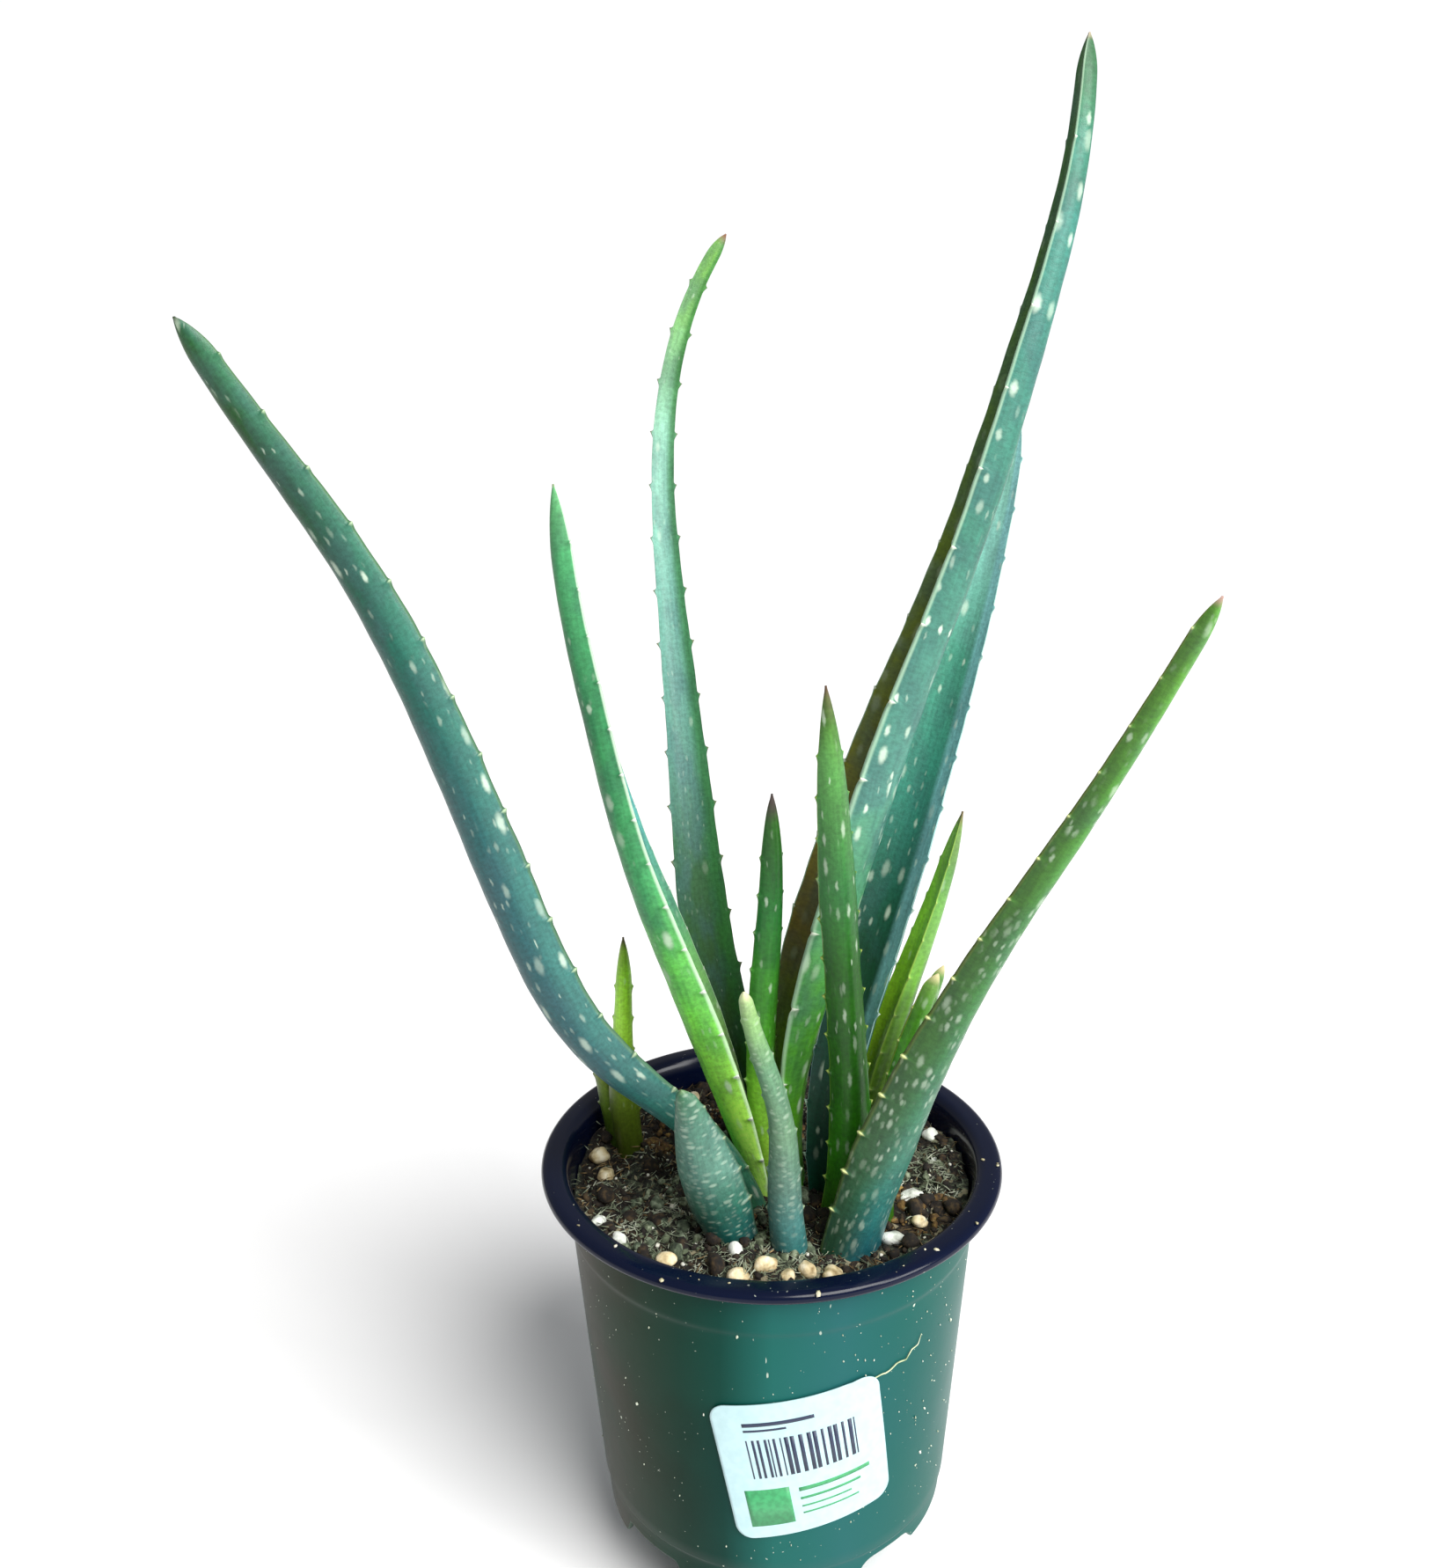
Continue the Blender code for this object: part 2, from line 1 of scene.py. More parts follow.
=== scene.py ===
"""Looks of a young aloe in a nursery pot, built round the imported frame.

Metres, +Z up. The origin is the middle of the pot's underside and the front is -Y. The tables are in
millimetres and degrees. A leaf is a grid of sections carried along its spine, the pot is one closed
section turned round its axis, and the soil is a rough disc with loose bits lying on it.
"""

import math

import bmesh
import bpy
import numpy as np
from mathutils import Matrix


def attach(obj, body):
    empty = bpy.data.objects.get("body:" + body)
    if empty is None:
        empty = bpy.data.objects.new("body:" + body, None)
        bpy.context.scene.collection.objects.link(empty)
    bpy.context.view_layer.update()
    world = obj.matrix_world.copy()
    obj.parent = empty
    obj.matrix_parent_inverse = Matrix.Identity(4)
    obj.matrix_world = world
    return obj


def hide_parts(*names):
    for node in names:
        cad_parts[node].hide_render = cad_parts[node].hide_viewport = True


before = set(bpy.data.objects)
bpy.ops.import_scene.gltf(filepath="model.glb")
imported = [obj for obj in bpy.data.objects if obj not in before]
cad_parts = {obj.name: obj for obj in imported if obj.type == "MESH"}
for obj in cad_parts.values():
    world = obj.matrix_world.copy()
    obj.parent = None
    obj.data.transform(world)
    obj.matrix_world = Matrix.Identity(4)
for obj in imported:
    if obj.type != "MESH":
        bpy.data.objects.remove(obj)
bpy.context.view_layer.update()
MM = 0.001

# Camera: where it stands, which way it looks, and its focal length and middle row in pixels of the frame
CAMERA_PLACE = (0.0, -0.300464, 0.277892)
CAMERA_RIGHT = (0.99944297, 0.02986312, -0.01489809)
CAMERA_UP = (0.00987546, 0.16177636, 0.98677803)
CAMERA_AHEAD = (-0.03187843, 0.98637549, -0.16139133)
FRAME_HEIGHT = 1782
FOCAL_PIXELS = 1560.0
CENTRE_ROW = 689.0
# Light: the sky's strength on the pieces and as the camera sees it, and how far the floor goes, in mm
SKY_LIGHT, SKY_SEEN = 0.3, 1.05
FLOOR_REACH = 20000.0

# Leaves: the same spines and sections as the frame's solids. Each leaf starts at its root on the soil and
# runs its length with a lean away from upright, towards its heading, and a sway to the side of it. Its inner
# face looks to "face". Width, thickness as a share of it and groove as a share of the depth go from foot to
# tip, and "point" is the length of the closing tip.
UP = np.array((0.0, 0.0, 1.0))
SOIL_TOP = 93.0
SPINE_STEPS = 240
# Rows of sections: below and just above the soil, then at an even pitch, round each tooth, and in the tip
FOOT_ROWS = [-8.0, -4.0, -1.0, 0.6, 1.5, 3.0]
ROW_START, ROW_PITCH, ROW_GAP = 5.0, 1.6, 0.09
TOOTH_ROWS = np.array([-1.5, -1.0, -0.65, -0.4, -0.2, 0.0, 0.15, 0.35, 0.6, 1.0])
TIP_ROWS = np.linspace(1.0, 0.0, 14)[1:-1] ** 1.6
# Points of a section from margin to margin over the back and back over the inner face, where a tooth begins
# to push the margin out, the least width and depth, how far a tooth reaches towards foot and tip, the height
# in which the foot turns away from upright, and UV map units in a millimetre
BACK_ACROSS = -np.cos(np.linspace(0.0, np.pi, 25))
INNER_ACROSS = np.cos(np.linspace(0.0, np.pi, 17))[1:-1]
MARGIN_START = 0.93
TIP_WIDTH, TIP_DEPTH = 0.5, 0.45
TOOTH_REACH = (1.5, 1.0)
UPRIGHT_FOOT = 1.5
UV_PER_MM = 0.01
PLAIN_LEAF = dict(sway=(0, 0))
LEAVES = {
    "leaf_left_arch": dict(
        root=(-6.2, -11.5), heading=198, length=228, lean=(22.5, 46.5, 23, 19, 23, 32, 28.5),
        face=(215, 230, 236, 236, 234), width=(12.5, 14.6, 13.8, 13.2, 11.8, 9.8, 6.0),
        thick=(0.37, 0.5, 0.52, 0.5, 0.5, 0.5), groove=(0.48, 0.38, 0.25, 0.1, 0.0), point=9.0, pitch=13.0,
        tooth=1.2),
    "leaf_left_upright": dict(
        root=(-2.5, -8.5), heading=176, length=170, lean=(13.5, 19, 21, 14, 11, 1),
        face=(192, 186, 184, 200, 222), width=(10.0, 13.3, 12.5, 10.1, 8.1, 6.7, 4.7),
        thick=(0.4, 0.6, 0.68, 0.68, 0.66, 0.6), groove=(0.45, 0.42, 0.4, 0.3, 0.1), point=16.0, pitch=10.5,
        tooth=1.2),
    "leaf_back": dict(
        root=(-1.0, 1.8), heading=100, length=233, lean=(8, 14, 16, 14, 8),
        sway=(17.5, 10.5, 3, 3, 1, -12.5, -35.5), face=(100, 100),
        width=(12.4, 12.7, 11.0, 8.1, 6.0, 4.8, 3.2), thick=(0.34, 0.42, 0.46, 0.5, 0.5, 0.5),
        groove=(0.45, 0.42, 0.38, 0.3, 0.1), point=7.0, pitch=13.0, tooth=1.1),
    "leaf_tall": dict(
        root=(6.0, -5.0), heading=8, length=266, lean=(-11, 14, 18, 22, 17.5, 14.5, -0.5),
        face=(16, 14, 10, 6, 4, 4), width=(9.5, 14.0, 14.2, 10.8, 9.0, 6.8, 4.3),
        thick=(0.44, 0.78, 0.84, 0.86, 0.88, 0.86, 0.8), groove=(0.45, 0.56, 0.56, 0.5, 0.4, 0.25, 0.1),
        point=9.0, pitch=18.0, tooth=1.3),
    "leaf_right_back": dict(
        root=(13.7, -12.6), heading=42, length=189, lean=(-4, 25, 24, 22.5, 12.5), face=(48, 59, 60),
        width=(9.0, 12.5, 13.0, 12.0, 10.2, 7.3, 4.2), thick=(0.44, 0.44), groove=(0.45, 0.48, 0.45, 0.4, 0.2),
        point=14.0, pitch=12.0, tooth=1.2),
    "leaf_right_front": dict(
        root=(18.5, -30.0), heading=-32, length=164, lean=(15.5, 20.5, 26, 30.5, 28.5, 26.5),
        face=(-62, -44, -34, -32, -32), width=(15.0, 15.4, 12.0, 9.2, 7.3, 5.6, 4.5),
        thick=(0.4, 0.56, 0.62, 0.64, 0.66, 0.66), groove=(0.43, 0.4, 0.3, 0.2, 0.1, 0.0), point=9.0,
        pitch=10.5, tooth=1.1),
    "leaf_front_centre": dict(
        root=(15.5, -20.0), heading=-90, length=124, lean=(5, 4, 2, 0), sway=(11.5, -1.5, -3.5, -3, -5.5),
        face=(-80, -75, -70), width=(9.0, 9.3, 8.5, 8.1, 8.1, 6.5, 5.4), thick=(0.4, 0.52, 0.56, 0.54, 0.5),
        groove=(0.4, 0.4, 0.35, 0.25, 0.1), point=26.0, pitch=9.0, tooth=0.9),
    "leaf_centre": dict(
        root=(2.55, -7.4), heading=0, length=97, lean=(-14, 4.5, -2.5), sway=(-3, -3), face=(-70, -60),
        width=(5.6, 7.2, 6.9, 6.8, 5.5, 5.5), thick=(0.53, 0.52), groove=(0.33, 0.3, 0.2, 0.1, 0.0),
        point=20.0, pitch=9.0, tooth=0.8),
    "leaf_small_right": dict(
        root=(20.5, -10.5), heading=8, length=94, lean=(-3, 16.5, 19.5, 12), face=(15, 15),
        width=(6.0, 7.4, 7.9, 6.7, 4.9, 3.2), thick=(0.57, 0.72, 0.74, 0.72, 0.7),
        groove=(0.35, 0.4, 0.35, 0.2, 0.0), point=14.0, pitch=9.0, tooth=0.8),
    "offset_leaf_front": dict(
        root=(25.9, -18.5), heading=2, length=59, lean=(-3, 12, 21.5), face=(-60, -50),
        width=(4.8, 6.0, 6.1, 3.9), thick=(0.58, 0.54), groove=(0.3, 0.2, 0.0), point=4.0, pitch=8.0, tooth=0.7),
    "offset_leaf_back": dict(
        root=(26.0, -13.2), heading=8, length=58, lean=(6, 13, 20.5), face=(-60, -50),
        width=(4.4, 5.0, 4.8, 3.2), thick=(0.58, 0.54), groove=(0.3, 0.2, 0.0), point=4.0, pitch=8.0, tooth=0.7),
    "leaf_stub_left": dict(
        root=(-9.3, -27.0), heading=205, length=39, lean=(24.5, 13.5, 11.5), face=(245, 245),
        width=(12.6, 15.5, 14.5, 9.6, 3.4), thick=(0.43, 0.46, 0.5, 0.6), groove=(0.33, 0.2, 0.1, 0.0),
        point=2.5, pitch=8.0, tooth=0.8),
    "leaf_stub_front": dict(
        root=(4.0, -32.0), heading=195, length=62, lean=(8, 0.5, 17.5, 9), face=(-92, -92),
        width=(8.0, 7.2, 5.4, 4.5, 2.8), thick=(0.47, 0.54, 0.56, 0.57), groove=(0.25, 0.2, 0.1, 0.0),
        point=3.0, pitch=9.0, tooth=0.6),
    "pup_leaf_tall": dict(
        root=(-34.2, 8.4), heading=190, length=55, lean=(9, -2.5, -0.5), face=(-90, -90),
        width=(6.4, 7.2, 5.2, 4.0, 3.0), thick=(0.47, 0.5, 0.56, 0.55), groove=(0.25, 0.2, 0.1, 0.0),
        point=12.0, pitch=8.0, tooth=0.6),
    "pup_leaf_short": dict(
        root=(-37.0, 12.6), heading=178, length=27, lean=(4, 14, 22), face=(-90, -90),
        width=(7.4, 7.6, 6.0, 4.0), thick=(0.45, 0.5), groove=(0.25, 0.2, 0.0), point=10.0, pitch=8.0,
        tooth=0.6),
}

# Skins: colours from foot to tip of the rounded back and of the inner face, each with its place in percent,
# the margin's and the teeth's colour, and two sorts of pale marks as (spacing across, spacing along, size,
# share, strength). Marks may keep to the sides ("sides" from 0 to 1) and fade on the inner face ("bare" from
# 0 to 1). Bloom is the share of bluish haze, and the tip dries from "dry" on. One side of a face may be mixed
# to a colour as painted light, darker for painted shade and paler for a painted highlight: (colour, place
# across where it starts, where it is full, amount, whether on the inner face).
PLAIN_SKIN = dict(slot="leaf_green", sides=0.0, bloom=0.0, bare=0.2)
OFFSET_SKIN = dict(
    margin="#a0b048", teeth="#d8d890", spots=(2.0, 6.0, 0.16, 0.2, 0.4), flecks=(1.1, 5.0, 0.16, 0.2, 0.3),
    dry=0.95, tip="#c8bc8c")
PUP_SKIN = dict(
    margin="#5c7818", teeth="#7a8c34", spots=(2.0, 6.0, 0.16, 0.1, 0.25), flecks=(1.1, 5.0, 0.16, 0.1, 0.2),
    dry=0.93, tip="#4c4024")
SKINS = {
    "leaf_left_arch": dict(
        slot="leaf_blue_green",
        back="0 3f895c, 8 2d7260, 22 204f53, 45 1c4f51, 66 0e5042, 86 0b3f18, 100 194c0d",
        inner="0 2f8a4c, 20 2a7058, 100 2f6a40", margin="#5c7a50", teeth="#a8bf9a",
        spots=(3.2, 10.5, 0.17, 0.5, 0.8), painted_side=("#5a9c86", 0.5, 0.95, 0.25, False),
        flecks=(1.4, 5.5, 0.17, 0.5, 0.45), sides=0.8, bloom=0.4, dry=0.992, tip="#2c3a20"),
    # Its foot is bright yellow-green on both faces: partly its own colour, partly painted light for the strong light
    # on the foot.
    "leaf_left_upright": dict(
        back="0 c8ff74, 14 b8fc5c, 27 78d850, 45 48a062, 70 307a4a, 90 408c58, 100 5a9c64",
        inner="0 b4dc5c, 20 7cae48, 36 5c9c64, 55 4f9490, 100 4a9478", margin="#e0f4dc", teeth="#f4faee",
        spots=(3.0, 8.5, 0.18, 0.36, 0.95), flecks=(1.3, 4.6, 0.17, 0.3, 0.4), sides=0.3, bloom=0.2, dry=0.993,
        tip="#7f8f6a"),
    # The inner face darkens to olive brown towards the foot: partly its own colour, partly painted shade low among
    # the leaves.
    "leaf_back": dict(
        back="0 3c4a20, 40 4a5c30, 100 5c8a34",
        inner="0 22380f, 14 2c4c20, 30 325b39, 42 548375, 60 699d8e, 75 82b59f, 88 649955, 100 578d20",
        margin="#3f3418", teeth="#6c7450", spots=(3.2, 7.5, 0.16, 0.12, 0.5),
        painted_side=("#2f7030", -0.15, -0.8, 0.75, True), flecks=(1.3, 3.6, 0.17, 0.4, 0.4), sides=0.5, bloom=0.5,
        dry=0.985, tip="#7a4c34"),
    # Above its green foot the inner face is dull olive brown: painted shade in the groove.
    "leaf_tall": dict(
        slot="leaf_blue_green",
        back="0 58a420, 14 509c22, 24 519161, 36 447a6c, 60 346f5d, 85 377569, 100 3b6c38",
        inner="0 5c9420, 10 527018, 22 625415, 40 545c0d, 70 44631a, 88 315829, 100 2c5a24", margin="#b8d8b8",
        teeth="#eaf4de", spots=(2.4, 8.5, 0.2, 0.62, 1.0), bare=0.85, painted_side=("#a0d0c0", 0.45, 0.9, 0.35, False),
        flecks=(1.3, 7.0, 0.18, 0.3, 0.45), sides=0.7, bloom=0.3, dry=0.992, tip="#a89a80"),
    # The inner face is near-black green at its foot: painted shadow behind the leaves in front of it.
    "leaf_right_back": dict(
        slot="leaf_blue_green", back="0 3f8078, 30 5c9aa0, 70 4f9080, 100 4a8a58",
        inner="0 144a36, 30 0e3a24, 50 2d7462, 68 418871, 85 83bfb1, 100 83bda5", margin="#b4d8d4",
        teeth="#d8ece0", spots=(3.0, 8.0, 0.19, 0.75, 0.95), painted_side=("#8cc8d0", -0.25, -0.6, 0.6, True),
        flecks=(1.4, 5.0, 0.16, 0.25, 0.45), sides=0.6, bloom=0.2, dry=0.992, tip="#8a8a70"),
    "leaf_right_front": dict(
        back="0 1a565e, 6 2c6c68, 16 306654, 34 2f6739, 50 377332, 75 44842a, 100 559325",
        inner="0 2c5c38, 50 3f6a2c, 100 4c742a", margin="#5f6c2c", teeth="#c8d08c",
        spots=(2.2, 7.0, 0.18, 0.45, 0.5), painted_side=("#2c4a10", -0.2, -0.95, 0.7, False),
        flecks=(1.1, 3.8, 0.27, 0.85, 0.46), sides=0.3, bloom=0.3, dry=0.985, tip="#a8867c"),
    "leaf_front_centre": dict(
        back="0 4b8718, 12 2e790d, 30 225b0d, 50 1e560d, 66 2d7033, 85 4d8641, 95 4b7b2c, 100 5b5635",
        inner="0 5a841c, 50 4a8424, 100 4a7c28", margin="#8ab038", teeth="#a8b860",
        spots=(1.8, 8.0, 0.17, 0.5, 0.6), flecks=(1.0, 6.0, 0.19, 0.3, 0.3), bloom=0.04, dry=0.97, tip="#5c4434"),
    "leaf_centre": dict(
        back="0 b4e04c, 20 8ccc40, 40 499a24, 70 246c2d, 92 276015, 100 464134",
        inner="0 9cd43c, 40 388428, 100 2c5c28", margin="#78aa58", teeth="#9ab480",
        spots=(1.9, 7.0, 0.18, 0.5, 0.7), flecks=(1.1, 5.0, 0.18, 0.3, 0.35), sides=0.6, bloom=0.08, dry=0.93,
        tip="#4a3f3c"),
    "leaf_small_right": dict(
        back="0 627c18, 25 6c9420, 55 6da53d, 85 54883e, 100 708d49",
        inner="0 647c18, 40 8cba27, 80 7abf2f, 100 6ca034", margin="#98bc4c", teeth="#a8c060",
        spots=(2.2, 8.0, 0.16, 0.3, 0.4), flecks=(1.1, 5.0, 0.16, 0.2, 0.3), dry=0.95, tip="#6a5a38"),
    "offset_leaf_front": dict(
        back="0 2c5810, 50 357c1c, 85 3b7514, 100 698e44", inner="0 3c6c14, 100 589830", **OFFSET_SKIN),
    "offset_leaf_back": dict(
        back="0 2c5810, 50 3c801f, 85 3f6f23, 100 56833e", inner="0 3c6c14, 100 609c34", **OFFSET_SKIN),
    "leaf_stub_left": dict(
        slot="leaf_grey_green", back="0 10403e, 12 1a564e, 28 2c6050, 50 517a6b, 80 456e5d, 100 3e6d4c",
        inner="0 1c5a4c, 100 4a7c58", margin="#4c7058", teeth="#8a9a78", spots=(2.6, 1.3, 0.26, 0.85, 0.36),
        flecks=(1.7, 1.0, 0.3, 0.7, 0.32), bloom=0.2, dry=0.97, tip="#6c8c60"),
    "leaf_stub_front": dict(
        slot="leaf_grey_green",
        back="0 245a5a, 12 487a76, 25 587a6c, 45 618366, 70 5f8966, 90 7fa565, 100 aac784",
        inner="0 2a6054, 100 78945c", margin="#7c9a7c", teeth="#9aaa88", spots=(2.2, 1.5, 0.24, 0.6, 0.34),
        flecks=(1.5, 1.0, 0.28, 0.5, 0.25), bloom=0.2, dry=0.955, tip="#d4dca8"),
    "pup_leaf_tall": dict(
        back="0 445414, 30 58701a, 60 99d23d, 85 92d131, 100 5f5f22", inner="0 546c18, 100 6c8a1c", **PUP_SKIN),
    "pup_leaf_short": dict(
        back="0 405c18, 40 58761c, 100 6c7c28", inner="0 48641c, 100 6c7c28", **PUP_SKIN),
}

# Pot: the frame's section, outside from the rim's flat ring down to the foot's end, and the rest
POT_WALL_OUT = [
    (51.0, 99.0), (52.4, 99.0), (53.5, 98.6), (54.0, 97.8), (53.9, 96.9), (53.2, 96.4), (49.4, 96.5),
    (48.6, 95.4), (47.7, 85.6), (47.2, 84.8), (41.2, 23.8),
]
POT_SKIRT_OUT = [(41.2, 23.8), (40.7, 23.0), (39.6, 12.0), (38.4, 6.0), (36.2, 1.6), (34.2, 0.0), (32.6, 0.0)]
POT_SKIRT_IN = [(38.3, 23.4), (39.2, 22.2), (38.2, 12.4), (36.8, 6.6), (34.4, 2.6), (33.0, 1.4), (32.6, 1.4)]
POT_FLOOR_UNDER = [(38.3, 23.4), (28.6, 16.6), (24.6, 10.4), (22.0, 2.0), (20.6, 0.0), (0.0, 0.0)]
POT_INSIDE = [
    (0.0, 1.4), (19.6, 1.4), (20.8, 2.8), (23.4, 11.2), (27.8, 17.8), (38.6, 25.0), (39.9, 26.4),
    (45.8, 84.4), (46.3, 85.8), (47.2, 95.6), (48.1, 98.2), (49.2, 99.0), (51.0, 99.0),
]
# Wall between foot and rim: heights and outer radii
WALL_LINE = ((23.8, 84.8, 85.6, 95.4), (41.2, 47.2, 47.7, 48.6))
# Steps round the pot, rows of the skirt's two sides and of its lower lip, and the height where the rim's dark starts
POT_STEPS, SKIRT_ROWS, LIP_ROWS = 360, 34, 5
DARK_ABOVE = 96.25
# How far the lip bulges as a share of its thickness, and how far the wall is out of round
LIP_BULGE, WALL_RIPPLE = 0.4, 0.06
# Arches: turns of their middles, and the height of the wall's lower edge by the angle from an arch's middle
ARCH_TURNS = (-134.0, -51.0, 47.0, 131.0)
ARCH_EDGE = [(0.0, 21.8), (6.5, 21.6), (9.0, 21.0), (11.0, 19.4), (12.6, 17.4), (15.5, 13.6), (18.4, 9.6),
             (23.0, 3.6), (26.0, 0.0), (60.0, 0.0)]
# Height of the skirt's edge beside the arches and highest roof of an arch, at the left and at the right
SKIRT_EDGES = (14.8, 18.6)
ARCH_ROOFS = (19.4, 21.8)

# Sticker: place on the wall, size, corner radius, turn, and how far its two faces and its print stand off
LABEL_ARC, LABEL_HEIGHT = 7.0, 52.6
LABEL_SIZE = (35.8, 34.0)
LABEL_CORNER = 3.6
LABEL_TURN = 9.7
LABEL_LIFTS, PRINT_LIFTS = (0.62, 0.36), (0.66, 0.6)
DARK_RULES = [(-11.5, 11.6, 3.4, 12.5), (-11.5, 10.3, -2.6, 10.8)]
GREEN_MARKS = [(-14.2, -14.0, -4.6, -4.6), (-2.6, -6.4, 13.4, -5.4), (-2.6, -8.6, 11.0, -8.0),
               (-2.6, -10.6, 8.6, -10.2), (-2.6, -12.4, 10.2, -12.0)]

# Pebbles: place and three radii, the cream gravel first and the white perlite after it
GRAVEL = [
    (-41.6, 7.6, 2.5, 2.1, 1.9), (-39.2, -0.6, 2.4, 2.1, 1.9), (-6.7, -39.9, 2.7, 2.0, 1.7),
    (-0.9, -38.6, 2.3, 1.9, 1.6), (3.4, -39.8, 1.7, 1.5, 1.3), (7.6, -38.5, 2.0, 1.7, 1.5),
    (13.0, -38.8, 2.6, 2.0, 1.7), (17.6, -40.6, 2.1, 1.7, 1.4), (-22.6, -34.2, 2.2, 1.8, 1.4),
    (33.3, -19.8, 1.9, 1.6, 1.4), (-20.0, 30.0, 2.2, 1.9, 1.5), (24.0, 27.0, 1.9, 1.7, 1.4),
]
PERLITE = [
    (-38.6, -20.4, 1.7, 1.5, 1.3), (-33.4, -26.4, 1.9, 1.6, 1.4), (-7.4, -33.2, 1.8, 1.5, 1.5),
    (40.2, 16.6, 2.1, 1.7, 1.5), (40.0, 6.8, 1.6, 1.4, 1.2), (32.8, -11.0, 2.8, 1.9, 1.5),
    (26.6, -27.2, 2.6, 2.0, 1.6), (6.0, 34.0, 2.4, 1.9, 1.6),
]
# Loose bits: a root hair and flakes on the wall as (degrees from the front, height), and crumbs on the rim
HAIR = [(43.6, 75.6), (42.6, 73.4), (40.2, 73.0), (38.2, 71.4), (34.8, 71.6), (31.4, 70.4), (28.0, 70.6),
        (24.6, 69.4), (22.0, 69.2)]
WALL_BITS = [(-33.7, 80.6), (-8.7, 84.4), (60.2, 70.7), (49.0, 53.8), (49.2, 42.1), (30.5, 61.7), (44.9, 53.5),
             (-41.4, 57.9), (-18.8, 63.2)]
RIM_BITS = [(49.2, -5.5), (52.3, -8.0), (34.3, -39.0), (-32.6, -38.3), (9.3, -53.2), (-22.2, -49.4),
            (44.1, -29.8)]
# Soil: radius of its rough top, steps round it and rings on it, how far out the loose bits lie, and the
# plug's side and bottom
SOIL_RADIUS = 46.4
SOIL_STEPS, SOIL_RINGS = 420, 120
BITS_RADIUS = 45.0
SOIL_SIDE = [
    (46.0, 86.0), (45.5, 84.6), (39.6, 26.7), (38.4, 25.4), (27.6, 18.2), (23.1, 11.5), (20.5, 3.1),
    (19.5, 1.7), (0.0, 1.7),
]

# Faces of a piece that has triangles only
NO_QUADS = np.zeros((0, 4), int)


def tone(code):
    """Colour from a web code, turned from display values to linear light."""
    parts = np.array([int(code[start:start + 2], 16) for start in (1, 3, 5)]) / 255.0
    linear = np.where(parts <= 0.04045, parts / 12.92, ((parts + 0.055) / 1.055) ** 2.4)
    return (*linear.tolist(), 1.0)


def along(values, place):
    """Smooth curve through evenly spaced values (a cubic through each four), read at places 0 to 1."""
    values = np.asarray(values, float)
    padded = np.concatenate([[2 * values[0] - values[1]], values, [2 * values[-1] - values[-2]]])
    spot = np.clip(place, 0.0, 1.0) * (len(values) - 1)
    index = np.minimum(spot.astype(int), len(values) - 2)
    part = spot - index
    before, here, there, after = (padded[index + step] for step in range(4))
    bend = 2 * before - 5 * here + 4 * there - after
    twist = 3 * (here - there) + after - before
    return here + 0.5 * part * (there - before + part * (bend + part * twist))


def run_along(line):
    """Distance along a broken line from its start to each of its points."""
    return np.concatenate([[0.0], np.cumsum(np.linalg.norm(np.diff(line, axis=0), axis=1))])


def read_line(spots, stations, line):
    """Points at some spots on a broken line whose own points lie at the stations."""
    return np.stack([np.interp(spots, stations, line[:, axis]) for axis in range(line.shape[1])], -1)


def unit(vectors):
    """Vectors of length 1 with the same directions."""
    return vectors / np.linalg.norm(vectors, axis=-1, keepdims=True)


def polar(radius, angle, height):
    """Points from their distance to the axis, their angle round it and their height."""
    return np.stack(np.broadcast_arrays(radius * np.cos(angle), radius * np.sin(angle), height), -1)


def cloud(x, y, cell, seed):
    """Value noise from 0 to 1: random heights on a square lattice of the cell's size, eased between."""
    size = 128
    lattice = np.random.default_rng(seed).random((size, size))
    u, v = x / cell + size / 2, y / cell + size / 2
    column, row = np.floor(u).astype(int), np.floor(v).astype(int)
    a, b = u - column, v - row
    a, b = a * a * (3 - 2 * a), b * b * (3 - 2 * b)
    pick = lambda right, up: lattice[(row + up) % size, (column + right) % size]
    low = pick(0, 0) * (1 - a) + pick(1, 0) * a
    high = pick(0, 1) * (1 - a) + pick(1, 1) * a
    return low * (1 - b) + high * b


def grid_faces(rows, columns, closed):
    """Quads of a grid of points, row after row, and round from the last column to the first if closed."""
    lower = np.arange(rows - 1)[:, None] * columns
    across = np.arange(columns if closed else columns - 1)[None, :]
    after = (across + 1) % columns
    quads = np.stack([lower + across, lower + after, lower + columns + after, lower + columns + across], -1)
    return quads.reshape(-1, 4)


def fan(ring, tip):
    """Triangles from a closed ring of point numbers to the point at its tip."""
    return np.stack([ring, np.roll(ring, -1), np.full(len(ring), tip)], 1)


def sheet_faces(rows, columns):
    """Quads of a thin closed sheet: a grid of points, the same grid behind it, and the edge round both."""
    size = rows * columns
    face = grid_faces(rows, columns, False)
    border = np.concatenate([
        np.arange(columns), np.arange(1, rows) * columns + columns - 1,
        (rows - 1) * columns + np.arange(columns - 1)[::-1], np.arange(1, rows - 1)[::-1] * columns])
    after = np.roll(border, -1)
    edge = np.stack([after, border, border + size, after + size], 1)
    return np.concatenate([face, face[:, ::-1] + size, edge])


